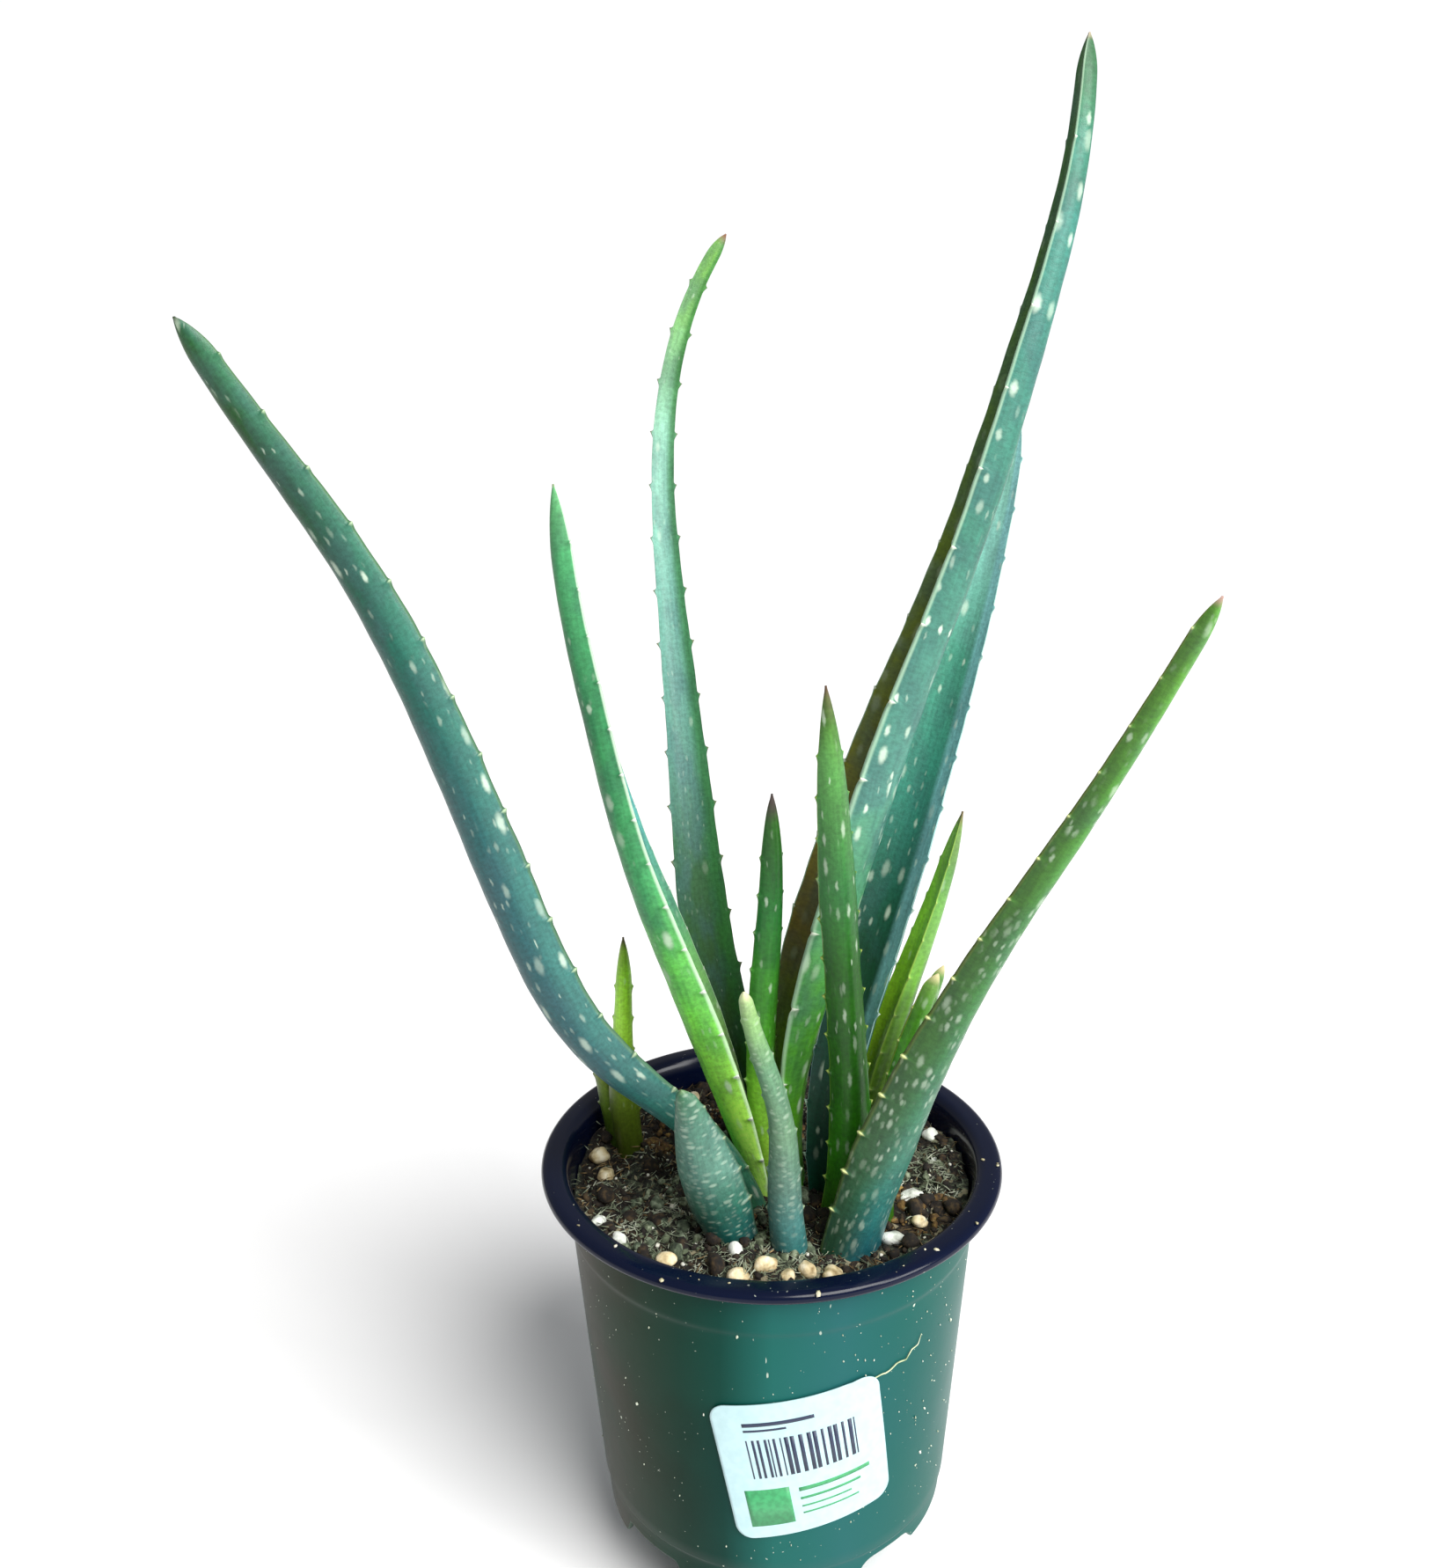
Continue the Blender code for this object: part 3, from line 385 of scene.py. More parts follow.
def make_piece(name, points, quads, triangles=None, uv=None, zone=None):
    """Mesh object from arrays: points in millimetres, with a UV pair and up to four zone values for each."""
    triangles = np.zeros((0, 3), int) if triangles is None else triangles
    corners = np.concatenate([quads.ravel(), triangles.ravel()]).astype(np.int32)
    sizes = np.concatenate([np.full(len(quads), 4), np.full(len(triangles), 3)])
    starts = np.concatenate([[0], np.cumsum(sizes)[:-1]]).astype(np.int32)
    mesh = bpy.data.meshes.new(name)
    mesh.vertices.add(len(points))
    mesh.vertices.foreach_set("co", (np.asarray(points, np.float32) * MM).ravel())
    mesh.loops.add(len(corners))
    mesh.loops.foreach_set("vertex_index", corners)
    mesh.polygons.add(len(sizes))
    mesh.polygons.foreach_set("loop_start", starts)
    mesh.update(calc_edges=True)
    mesh.shade_smooth()
    if uv is not None:
        layer = mesh.uv_layers.new(name="UVMap")
        layer.data.foreach_set("uv", np.asarray(uv, np.float32)[corners].ravel())
    if zone is not None:
        values = np.zeros((len(points), 4), np.float32)
        values[:, :zone.shape[1]] = zone
        marks = mesh.attributes.new("zone", "FLOAT_COLOR", "POINT")
        marks.data.foreach_set("color", values.ravel())
    piece = bpy.data.objects.new(name, mesh)
    bpy.context.scene.collection.objects.link(piece)
    return piece


def finish_piece(piece, material, slot, *nodes):
    """Give a piece its material and its place in the frame."""
    piece.data.materials.append(material)
    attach(piece, "root")
    if nodes:
        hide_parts(*nodes)


# ---- shader building


def wire(value, socket):
    """Link a socket, or set a plain number or colour."""
    if isinstance(value, bpy.types.NodeSocket):
        socket.id_data.links.new(value, socket)
    else:
        socket.default_value = value


def node(tree, kind, values=None, **settings):
    """Add a shader node, set its options, and fill its inputs with numbers or with sockets to link.

    Without a tree the node goes into the tree of the first socket among the values.
    """
    if tree is None:
        tree = next(value.id_data for value in values.values() if isinstance(value, bpy.types.NodeSocket))
    made = tree.nodes.new(kind)
    for key, value in settings.items():
        setattr(made, key, value)
    for key, value in (values or {}).items():
        wire(value, made.inputs[key])
    return made


def maths(operation, *values):
    """Result of one Math node."""
    return node(None, "ShaderNodeMath", dict(enumerate(values)), operation=operation).outputs[0]


def times(product, *others):
    """Product of two or more values."""
    for value in others:
        product = maths("MULTIPLY", product, value)
    return product


def mixed(factor, first, second):
    """Colour between two colours by a factor."""
    return node(None, "ShaderNodeMix", {0: factor, 6: first, 7: second}, data_type="RGBA").outputs[2]


def ramp(factor, stops):
    """Colour read along a factor from stops written as "percent code, percent code"."""
    stops = [stop.split() for stop in stops.split(", ")]
    made = node(None, "ShaderNodeValToRGB", {0: factor})
    elements = made.color_ramp.elements
    while len(elements) < len(stops):
        elements.new(1.0)
    for element, (place, code) in zip(elements, stops):
        element.position = float(place) / 100.0
        element.color = tone("#" + code)
    return made.outputs[0]


def between(value, low, high, out_low=0.0, out_high=1.0):
    """Value eased from one range to another and held at its ends."""
    return node(None, "ShaderNodeMapRange", {0: value, 1: low, 2: high, 3: out_low, 4: out_high},
                interpolation_type="SMOOTHSTEP").outputs[0]


def noise(spot, scale, detail, roughness=0.5):
    """Outputs of a noise texture: the value first, then the colour."""
    return node(None, "ShaderNodeTexNoise",
                {"Vector": spot, "Scale": scale, "Detail": detail, "Roughness": roughness}).outputs


def stretched(spot, scale, turn=(0.0, 0.0, 0.0)):
    """A place turned and stretched."""
    return node(None, "ShaderNodeMapping", {0: spot, "Rotation": turn, "Scale": scale}).outputs[0]


def shaken(spot, scale, detail, middle, reach):
    """A place moved by reach times (noise minus its middle) along each axis."""
    wobble = node(None, "ShaderNodeVectorMath", {0: noise(spot, scale, detail)["Color"], 1: (middle,) * 3},
                  operation="SUBTRACT").outputs[0]
    offset = node(None, "ShaderNodeVectorMath", {0: wobble, "Scale": reach}, operation="SCALE").outputs[0]
    return node(None, "ShaderNodeVectorMath", {0: spot, 1: offset}, operation="ADD").outputs[0]


def split(kind, value):
    """The parts of a vector ("XYZ") or of a colour ("Color")."""
    return node(None, "ShaderNodeSeparate" + kind, {0: value}).outputs


def shaded(colour, value):
    """Colour made brighter or darker by a factor."""
    return node(None, "ShaderNodeHueSaturation", {"Color": colour, "Value": value}).outputs[0]


def object_spot(tree):
    """Place in the object's own coordinates."""
    return node(tree, "ShaderNodeTexCoord").outputs["Object"]


def read_zone(tree):
    """The four zone values of a piece."""
    mark = node(tree, "ShaderNodeAttribute", attribute_name="zone")
    return (*split("Color", mark.outputs["Color"]), mark.outputs["Alpha"])


def new_group(name, inputs, outputs):
    """Empty shader group: returns its tree, the sockets of its Vector and other inputs, and its output node."""
    tree = bpy.data.node_groups.new(name, "ShaderNodeTree")
    tree.interface.new_socket(name="Vector", in_out="INPUT", socket_type="NodeSocketVector")
    for labels, way in ((inputs, "INPUT"), (outputs, "OUTPUT")):
        for label in labels:
            tree.interface.new_socket(name=label, in_out=way, socket_type="NodeSocketFloat")
    return tree, node(tree, "NodeGroupInput").outputs, node(tree, "NodeGroupOutput")


def use_group(group, **values):
    """Outputs of a shader group placed in the tree of the given sockets."""
    return node(None, "ShaderNodeGroup", values, node_tree=group).outputs


def spots_group():
    """Oval spots with soft edges: cells of a stretched lattice, some empty, each with a spot of its own size."""
    tree, given, result = new_group("oval_spots", ("Across", "Along", "Size", "Share", "Shift"), ("Mask",))
    parts = split("XYZ", shaken(given["Vector"], 90.0, 1.0, 0.5, 0.0045))
    across, lengthwise = (maths("DIVIDE", times(parts[axis], 1.0 / UV_PER_MM), given[spacing])
                          for axis, spacing in enumerate(("Across", "Along")))
    place = node(tree, "ShaderNodeCombineXYZ", {0: maths("ADD", across, given["Shift"]), 1: lengthwise})
    cells = node(tree, "ShaderNodeTexVoronoi", {"Vector": place.outputs[0], "Scale": 1.0, "Randomness": 0.72},
                 voronoi_dimensions="2D")
    chance = split("Color", cells.outputs["Color"])
    size = times(given["Size"], maths("MULTIPLY_ADD", chance[1], 0.9, 0.6))
    inside = between(maths("DIVIDE", cells.outputs["Distance"], size), 1.25, 0.35)
    kept = maths("LESS_THAN", chance[0], given["Share"])
    faint = maths("MULTIPLY_ADD", chance[2], 0.65, 0.35)
    wire(times(inside, kept, faint), result.inputs[0])
    return tree


def grain_group():
    """Skin grain: faint veins drawn out along the leaf, cloudy patches, fine mottling and pores."""
    tree, given, result = new_group("leaf_grain", (), ("Veins", "Patches", "Mottle", "Pores"))
    spot = given["Vector"]
    for place, made in enumerate((
            noise(stretched(spot, (190.0, 6.0, 1.0)), 1.0, 3.0),
            noise(stretched(spot, (22.0, 8.0, 1.0)), 1.0, 5.0),
            noise(spot, 110.0, 5.0, 0.65), noise(spot, 420.0, 2.0))):
        wire(made[0], result.inputs[place])
    return tree


def dust_group():
    """Pale dust: small sharp specks of uneven size, thinned out by a broad noise."""
    tree, given, result = new_group("dust", ("Scale", "Share"), ("Mask",))
    moved = shaken(given["Vector"], 900.0, 2.0, 0.0, 0.0012)
    cells = node(tree, "ShaderNodeTexVoronoi", {"Vector": moved, "Scale": given["Scale"]}).outputs
    chance = split("Color", cells["Color"])
    broad = noise(given["Vector"], 45.0, 2.0)[0]
    share = times(given["Share"], between(broad, 0.4, 0.65, 0.3, 1.6))
    kept = maths("LESS_THAN", chance[0], share)
    size = maths("MULTIPLY_ADD", maths("POWER", chance[1], 3.0), 0.08, 0.035)
    inside = between(maths("DIVIDE", cells["Distance"], size), 1.0, 0.6)
    wire(times(inside, kept), result.inputs[0])
    return tree


SPOTS = spots_group()
GRAIN = grain_group()
DUST = dust_group()


def new_material(name):
    """Material with its node tree and its main shader."""
    material = bpy.data.materials.new(name)
    material.use_nodes = True
    return material, material.node_tree, material.node_tree.nodes["Principled BSDF"]


def dress(shader, colour, roughness, relief=None):
    """Set the colour and roughness of a main shader, and its relief from (strength, depth, height)."""
    wire(colour, shader.inputs["Base Color"])
    wire(roughness, shader.inputs["Roughness"])
    if relief:
        strength, depth, height = relief
        bump = node(None, "ShaderNodeBump", {"Strength": strength, "Distance": depth, "Height": height})
        wire(bump.outputs[0], shader.inputs["Normal"])


def pale_marks(uv, sort, share, shift):
    """Mask of one sort of pale marks on a leaf."""
    across, lengthwise, size = sort[:3]
    return use_group(SPOTS, Vector=uv, Across=across, Along=lengthwise, Size=size, Share=share,
                     Shift=shift)["Mask"]


def leaf_skin(name, skin, index):
    """Leaf skin: colour by place and face, one side darker as painted shade on some leaves and paler as a painted
    highlight on others, bloom, mottling, pale marks, margin line, teeth and dry tip.
    """
    material, tree, shader = new_material(name + "_skin")
    uv = node(tree, "ShaderNodeUVMap", uv_map="UVMap").outputs[0]
    rim, face, tooth, place = read_zone(tree)
    grain = use_group(GRAIN, Vector=uv)
    patches = grain["Patches"]
    drift = maths("MULTIPLY_ADD", maths("SUBTRACT", patches, 0.5), 0.14, place)
    colour = mixed(face, ramp(drift, skin["back"]), ramp(drift, skin["inner"]))
    haze = times(between(patches, 0.4, 0.66), 0.5 * skin["bloom"])
    colour = mixed(haze, colour, tone("#56808a"))
    # Painted side light: one side of the back or of the inner face is mixed to a darker colour for painted shade, or
    # to a paler one for a painted highlight, as each leaf's table gives.
    if "painted_side" in skin:
        code, start, end, amount, inner = skin["painted_side"]
        amount = times(face if inner else maths("SUBTRACT", 1.0, face), amount)
        signed = times(rim, maths("SIGN", split("XYZ", uv)[0]))
        colour = mixed(times(between(signed, start, end), amount), colour, tone(code))
    lift = maths("ADD", between(grain["Mottle"], 0.3, 0.7, -0.18, 0.18),
                 between(grain["Veins"], 0.3, 0.7, 0.92, 1.08))
    colour = shaded(colour, times(lift, between(patches, 0.34, 0.66, 1.16, 0.84)))

    spots, flecks = skin["spots"], skin["flecks"]
    sided = between(rim, 0.1, 0.75, spots[3] * (1.0 - skin["sides"]), spots[3])
    large = times(pale_marks(uv, spots, sided, 7.3 * index), spots[4])
    small = times(pale_marks(uv, flecks, flecks[3], 3.1 * index + 40.0),
                  between(patches, 0.42, 0.6), flecks[4])
    marks = times(maths("MAXIMUM", large, small),
                  maths("MULTIPLY_ADD", face, -skin["bare"], 1.0))
    colour = mixed(marks, colour, mixed(0.72, colour, tone("#e2f2dc")))
    edge = times(between(rim, 0.978, 0.998), 0.6)
    colour = mixed(edge, colour, tone(skin["margin"]))
    colour = mixed(between(tooth, 0.25, 0.6), colour, tone(skin["teeth"]))
    colour = mixed(between(place, skin["dry"], 1.0), colour, tone(skin["tip"]))

    gloss = between(grain["Pores"], 0.3, 0.7, 0.32, 0.46)
    height = maths("MULTIPLY_ADD", grain["Veins"], 0.35, times(grain["Pores"], 0.2))
    for part, amount in ((marks, 0.3), (grain["Mottle"], 0.6)):
        height = maths("MULTIPLY_ADD", part, amount, height)
    dress(shader, colour, maths("MULTIPLY_ADD", marks, 0.12, gloss), (0.4, 0.0003, height))
    shader.inputs["Specular IOR Level"].default_value = 0.3
    shader.inputs["Coat Weight"].default_value = 0.06
    shader.inputs["Coat Roughness"].default_value = 0.2
    return material


# ---- leaves


def tooth_spots(leaf):
    """Places of a leaf's teeth along it, at an even pitch."""
    return np.arange(10.0, leaf["length"] - 0.5 * leaf["point"] - 1.5, leaf["pitch"])


def leaf_teeth(leaf, rows, seed):
    """Tooth height at each row: spikes of height times (1 - distance / reach)^1.7, lower to the tip."""
    spots = tooth_spots(leaf)
    uneven = np.random.default_rng(seed).uniform(0.85, 1.15, len(spots))
    heights = leaf["tooth"] * (1.0 - 0.45 * spots / leaf["length"]) * uneven
    apart = rows[:, None] - spots[None, :]
    reach = np.where(apart < 0, *TOOTH_REACH)
    return (heights * np.maximum(1.0 - np.abs(apart) / reach, 0.0) ** 1.7).max(1)


def leaf_rows(leaf):
    """Distances from the soil at which a leaf has a section, closer at its foot, at its teeth and at its tip."""
    length, point = leaf["length"], leaf["point"]
    rows = np.concatenate([
        FOOT_ROWS, np.arange(ROW_START, length - point, ROW_PITCH), length - point * TIP_ROWS,
        [length - 0.12], (tooth_spots(leaf)[:, None] + TOOTH_ROWS[None, :]).ravel()])
    rows = np.unique(np.round(rows[rows < length - 0.05], 2))
    return rows[np.concatenate([[True], np.diff(rows) > ROW_GAP])]


def leaf_spine(leaf):
    """Points of a leaf's spine and its direction at each, from its lean and sway angles."""
    heading = math.radians(leaf["heading"])
    ahead = np.array((math.cos(heading), math.sin(heading), 0.0))
    aside = np.array((-math.sin(heading), math.cos(heading), 0.0))
    middle = (np.arange(SPINE_STEPS) + 0.5) / SPINE_STEPS
    lean, sway = np.radians(along(leaf["lean"], middle)), np.radians(along(leaf["sway"], middle))
    ways = (ahead * (np.sin(lean) * np.cos(sway))[:, None] + aside * np.sin(sway)[:, None]
            + UP * (np.cos(lean) * np.cos(sway))[:, None])
    root = np.array((*leaf["root"], SOIL_TOP))
    spine = np.vstack([root, root + np.cumsum(ways * leaf["length"] / SPINE_STEPS, 0)])
    return spine, np.vstack([ways, ways[-1]])


def leaf_piece(name, leaf, seed):
    """Leaf as a closed tube of sections along its spine.

    Across a section from -1 to 1, the back stands out by the depth times (1 - x^2)^0.6 and the inner face
    sinks by the groove times (1 - x^2). Teeth push the margins out to the side and half as much forward.
    """
    length = leaf["length"]
    rows = leaf_rows(leaf)
    tooth = leaf_teeth(leaf, rows, seed)
    place = np.clip(rows / length, 0.0, 1.0)
    spine, ways = leaf_spine(leaf)
    stations = np.arange(SPINE_STEPS + 1) / SPINE_STEPS
    centre = read_line(place, stations, spine)
    centre[:, 2] += np.minimum(rows, 0.0)
    blend = np.clip(rows / UPRIGHT_FOOT, 0.0, 1.0)[:, None]
    way = unit(UP * (1 - blend) + read_line(place, stations, ways) * blend)

    into_tip = np.maximum(rows - length + leaf["point"], 0.0) / leaf["point"]
    close = np.maximum(1.0 - into_tip ** 2, 0.0) ** 0.8
    uneven = 1.0 + 0.012 * np.sin(rows * 0.23 + seed) + 0.008 * np.sin(rows * 0.61 + 2.0 * seed)
    width = np.maximum(along(leaf["width"], place) * close * uneven, TIP_WIDTH)
    depth = np.maximum(along(leaf["thick"], place) * width, TIP_DEPTH)
    groove = np.minimum(along(leaf["groove"], place) * depth, depth - TIP_DEPTH)
    face = np.radians(along(leaf["face"], place))
    side = np.stack([-np.sin(face), np.cos(face), np.zeros_like(face)], 1)
    side = unit(side - way * (side * way).sum(1, keepdims=True))
    inner = np.cross(way, side)

    across = np.concatenate([BACK_ACROSS, INNER_ACROSS])
    on_back = np.arange(len(across)) < len(BACK_ACROSS)
    bulge = np.where(on_back, np.maximum(1 - across ** 2, 0.0) ** 0.6, 0.0)
    hollow = np.where(on_back, 0.0, 1 - across ** 2)
    out = depth[:, None] * (0.5 - bulge) - groove[:, None] * hollow
    reach = width[:, None] / 2 * across
    spike = np.clip((np.abs(across) - MARGIN_START) / (1.0 - MARGIN_START), 0.0, 1.0) ** 1.5
    push = tooth[:, None] * spike
    points = (centre[:, None, :] + side[:, None, :] * (reach + np.sign(across) * push)[:, :, None]
              + inner[:, None, :] * out[:, :, None] + way[:, None, :] * (0.5 * push)[:, :, None])

    count, columns = points.shape[:2]
    points = np.concatenate([points.reshape(-1, 3), [spine[-1], centre[0]]])
    tip, foot = count * columns, count * columns + 1
    ring = np.arange(columns)
    triangles = np.concatenate([fan((count - 1) * columns + ring, tip), fan(ring, foot)[:, ::-1]])
    arc = np.where(on_back, 0.65 * np.arcsin(np.clip(np.abs(across), 0, 1)) / (np.pi / 2), 0.5 * np.abs(across))
    u = np.sign(across) * arc * width[:, None]
    uv = np.stack(np.broadcast_arrays(u, rows[:, None]), -1).reshape(-1, 2)
    uv = np.concatenate([uv, [[0.0, length], [0.0, rows[0]]]]) * UV_PER_MM
    zone = np.stack(np.broadcast_arrays(np.abs(across), np.where(on_back, 0.0, 1.0), push / leaf["tooth"],
                                        place[:, None]), -1).reshape(-1, 4)
    zone = np.concatenate([zone, [[0.0, 0.0, 0.0, 1.0], [0.0, 0.0, 0.0, 0.0]]])
    return make_piece(name, points, grid_faces(count, columns, True), triangles, uv, zone)


for index, (name, leaf) in enumerate(LEAVES.items()):
    skin = {**PLAIN_SKIN, **SKINS[name]}
    piece = leaf_piece(name + "_fine", {**PLAIN_LEAF, **leaf}, index + 3)
    finish_piece(piece, leaf_skin(name, skin, index), skin["slot"], name)


# ---- pot


def eased_line(points, step, softness):
    """Points along a broken line at an even step, with its corners rounded by a moving average."""
    points = np.asarray(points, float)
    run = run_along(points)
    spots = np.linspace(0.0, run[-1], max(int(run[-1] / step), 4) + 1)
    line = read_line(spots, run, points)
    reach = int(round(softness / (run[-1] / (len(spots) - 1))))
    padded = np.concatenate([np.repeat(line[:1], reach, 0), line, np.repeat(line[-1:], reach, 0)])
    window = np.hanning(2 * reach + 3)[1:-1]
    window /= window.sum()
    eased = np.stack([np.convolve(padded[:, axis], window, "valid") for axis in range(2)], 1)
    place = np.arange(len(line))
    fade = np.clip(np.minimum(place, place[::-1]) / reach, 0.0, 1.0)[:, None]
    return line * (1 - fade) + eased * fade


def lean_line(line):
    """A section line with all points of its bends and one in five of its straight stretches."""
    step = np.diff(line, axis=0)
    heading = np.unwrap(np.arctan2(step[:, 1], step[:, 0]))
    bend = np.abs(np.diff(heading, prepend=heading[:1], append=heading[-1:]))
    keep = (bend > 0.012) | (np.arange(len(line)) % 5 == 0)
    keep[[0, -1]] = True
    return line[keep]


def arch_level(degrees):
    """Height of the pot's lower edge round its axis: a level roof, a soft shoulder, then down to the ground."""
    turn = (degrees[:, None] - np.array(ARCH_TURNS)[None, :] + 180.0) % 360.0 - 180.0
    spread = np.abs(turn).min(1)[:, None] + np.array([-1.0, -0.5, 0.0, 0.5, 1.0])[None, :]
    edge = np.array(ARCH_EDGE)
    level = np.interp(np.abs(spread), edge[:, 0], edge[:, 1]).mean(1)
    sideways = np.cos(np.radians(degrees))
    roof, skirt = (np.where(sideways > 0.0, right, left) for left, right in (ARCH_ROOFS, SKIRT_EDGES))
    level = np.minimum(level, roof)
    return np.where(np.abs(sideways) > 0.75, np.maximum(level, skirt), level)


def pot_piece():
    """Pot shell: a closed section for each step round the axis, slightly out of round higher up.

    The section runs from the floor's middle out under the floor, down the inside of the skirt to the
    arch's edge, over that edge, up the outside, over the rim and down the inside to the floor's middle.
    """
    degrees = np.linspace(-180.0, 180.0, POT_STEPS, endpoint=False)
    level = arch_level(degrees)

    def skirt_line(corners):
        """The part of a skirt line above the arch's edge at each step, in an even number of points."""
        line = eased_line(corners, 0.9, 1.4)
        run = run_along(line)
        end = np.array([run[-1] if edge <= 0.02 else np.interp(-edge, -line[:, 1], run) for edge in level])
        return read_line(np.linspace(0.0, 1.0, SKIRT_ROWS)[None, :] * end[:, None], run, line)

    inside, outside = skirt_line(POT_SKIRT_IN), skirt_line(POT_SKIRT_OUT)
    gap = outside[:, -1] - inside[:, -1]
    middle = (outside[:, -1] + inside[:, -1]) / 2
    down = np.stack([gap[:, 1], -gap[:, 0]], 1)
    turn = np.linspace(0.0, np.pi, LIP_ROWS + 2)[1:-1]
    lip = (middle[:, None] - gap[:, None] / 2 * np.cos(turn)[None, :, None]
           + down[:, None] * LIP_BULGE * np.sin(turn)[None, :, None])
    lip[:, :, 1] = np.maximum(lip[:, :, 1], 0.0)
    floor, wall, inner = (
        np.broadcast_to(line, (POT_STEPS, *line.shape)) for line in (
            lean_line(eased_line(POT_FLOOR_UNDER[::-1], 1.6, 1.2))[1:],
            lean_line(eased_line(POT_WALL_OUT[::-1], 0.55, 0.55))[1:],
            lean_line(eased_line(POT_INSIDE[::-1], 0.7, 0.6))[1:-1]))
    section = np.concatenate([floor, inside[:, 1:], lip, outside[:, ::-1], wall, inner], 1)
    radius, height = section[:, :, 0], section[:, :, 1]
    angle = np.radians(degrees)[:, None]
    ripple = WALL_RIPPLE * np.sin(3 * angle + 0.7) * np.clip((height - 30) / 40, 0, 1)
    points = polar(radius + ripple, angle, height)

    count, columns = points.shape[:2]
    place = np.arange(columns) - floor.shape[1] - (SKIRT_ROWS - 1)
    dark = (np.arange(columns) >= columns - inner.shape[1]) | (height > DARK_ABOVE)
    zone = np.stack(np.broadcast_arrays(dark, (place >= 0) & (place < LIP_ROWS)), -1).reshape(-1, 2)
    base, top = count * columns, count * columns + 1
    ring = np.arange(count) * columns
    quads = (grid_faces(count + 1, columns, False) % (count * columns))[:, ::-1]
    triangles = np.concatenate([fan(ring, base), fan(ring + columns - 1, top)[:, ::-1]])
    points = np.concatenate([points.reshape(-1, 3), [[0, 0, 0], [0, 0, POT_INSIDE[0][1]]]])
    return make_piece("pot_fine", points, quads, triangles, None, np.concatenate([zone, [[0, 0], [1, 0]]]))


def pot_skin():
    """Thin moulded plastic: green outside with painted shade at the left and painted sheen right of the middle, navy
    black inside and on the rim, with dust, faint scuffs and a painted highlight on the skirt's lip.
    """
    material, tree, shader = new_material("pot_plastic")
    spot = object_spot(tree)
    dark, lip = read_zone(tree)[:2]
    cloudy = noise(spot, 26.0, 3.0)[0]
    axis = split("XYZ", spot)
    # Painted light across the pot: dark olive brown at the far left as painted shade, lighter teal right of the
    # middle as painted sheen, giving way to one plain green towards the back.
    green = ramp(between(axis[0], -0.05, 0.05), "0 2c2610, 10 1e2410, 22 08281c, 34 02342c, 50 1c5d58, "
                 "72 215a5b, 88 12524e, 100 0e5048")
    green = mixed(between(axis[1], -0.02, 0.01), green, tone("#0c4a42"))
    green = mixed(between(cloudy, 0.35, 0.65, 0.0, 0.2), green, tone("#0c5848"))
    # Painted highlight: the skirt's lower lip turns paler grey-green, as if its edge caught the light.
    green = mixed(times(lip, 0.3), green, tone("#6f8a7c"))
    colour = mixed(dark, green, tone("#060e26"))
    drawn = stretched(spot, (1.0, 1.0, 0.3), (0.0, 0.5, 0.0))
    specks, fine, hairs = (
        use_group(DUST, Vector=place, Scale=scale, Share=share)["Mask"]
        for place, scale, share in ((spot, 260.0, 0.9), (spot, 560.0, 1.0), (drawn, 330.0, 0.4)))
    dust = maths("MAXIMUM", specks, times(maths("MAXIMUM", fine, hairs), 0.7))
    thin = maths("MULTIPLY_ADD", dark, -0.45, 0.85)
    colour = mixed(times(dust, thin), colour, tone("#d4dccc"))
    gloss = maths("MULTIPLY_ADD", dark, -0.16, between(cloudy, 0.3, 0.7, 0.3, 0.38))
    height = maths("ADD", noise(spot, 140.0, 4.0)[0], dust)
    dress(shader, colour, maths("MULTIPLY_ADD", dust, 0.4, gloss), (0.12, 0.0004, height))
    shader.inputs["Specular IOR Level"].default_value = 0.08
    wire(times(dark, 0.3), shader.inputs["Coat Weight"])
    shader.inputs["Coat Roughness"].default_value = 0.16
    return material


finish_piece(pot_piece(), pot_skin(), "pot_green", "pot")


# ---- sticker


def on_wall(turn, height, lift):
    """Points on the pot's wall from the angle away from the front and the height, lifted off the wall."""
    return polar(np.interp(height, *WALL_LINE) + lift, turn - np.pi / 2, height)


def on_label(across, rise, lift):
    """Points on the pot's wall from a place on the sticker, turned with it."""
    turn = math.radians(LABEL_TURN)
    arc = LABEL_ARC + across * math.cos(turn) - rise * math.sin(turn)
    level = LABEL_HEIGHT + across * math.sin(turn) + rise * math.cos(turn)
    return on_wall(arc / np.interp(LABEL_HEIGHT, *WALL_LINE), level, lift)


def sticker_piece():
    """Sticker: a sheet of rows whose ends follow the rounded corners, with a crease and a lifted corner."""
    half_wide, half_tall = LABEL_SIZE[0] / 2, LABEL_SIZE[1] / 2
    bend = np.linspace(0, np.pi / 2, 12)
    rise = np.concatenate([
        -half_tall + LABEL_CORNER * (1 - np.cos(bend)),
        np.linspace(-half_tall + LABEL_CORNER, half_tall - LABEL_CORNER, 40)[1:-1],
        half_tall - LABEL_CORNER * (1 - np.sin(bend))])
    into = np.maximum(np.abs(rise) - (half_tall - LABEL_CORNER), 0.0)
    ends = half_wide - LABEL_CORNER + np.sqrt(np.maximum(LABEL_CORNER ** 2 - into ** 2, 0.0))
    across = np.linspace(-1.0, 1.0, 61)[None, :] * ends[:, None]
    up = np.broadcast_to(rise[:, None], across.shape)
    crease = 0.12 * np.exp(-((across - up * 0.9 + 3.0) / 0.7) ** 2) * np.clip((up - 6.0) / 8.0, 0, 1)
    lifted = 0.18 * np.clip((across - 13.0) / 5.0, 0, 1) * np.clip((up - 12.0) / 5.0, 0, 1)
    points = np.concatenate([on_label(across, up, lift + crease + lifted).reshape(-1, 3) for lift in LABEL_LIFTS])
    return make_piece("label_fine", points, sheet_faces(*across.shape))


def sticker_skin():
    """Satin paper: pale mint, with faint fibre."""
    material, tree, shader = new_material("label_paper")
    fibre = noise(object_spot(tree), 500.0, 4.0)[0]
    colour = mixed(between(fibre, 0.3, 0.7), tone("#b2d2d6"), tone("#bcdade"))
    dress(shader, colour, 0.42, (0.1, 0.0002, fibre))
    return material


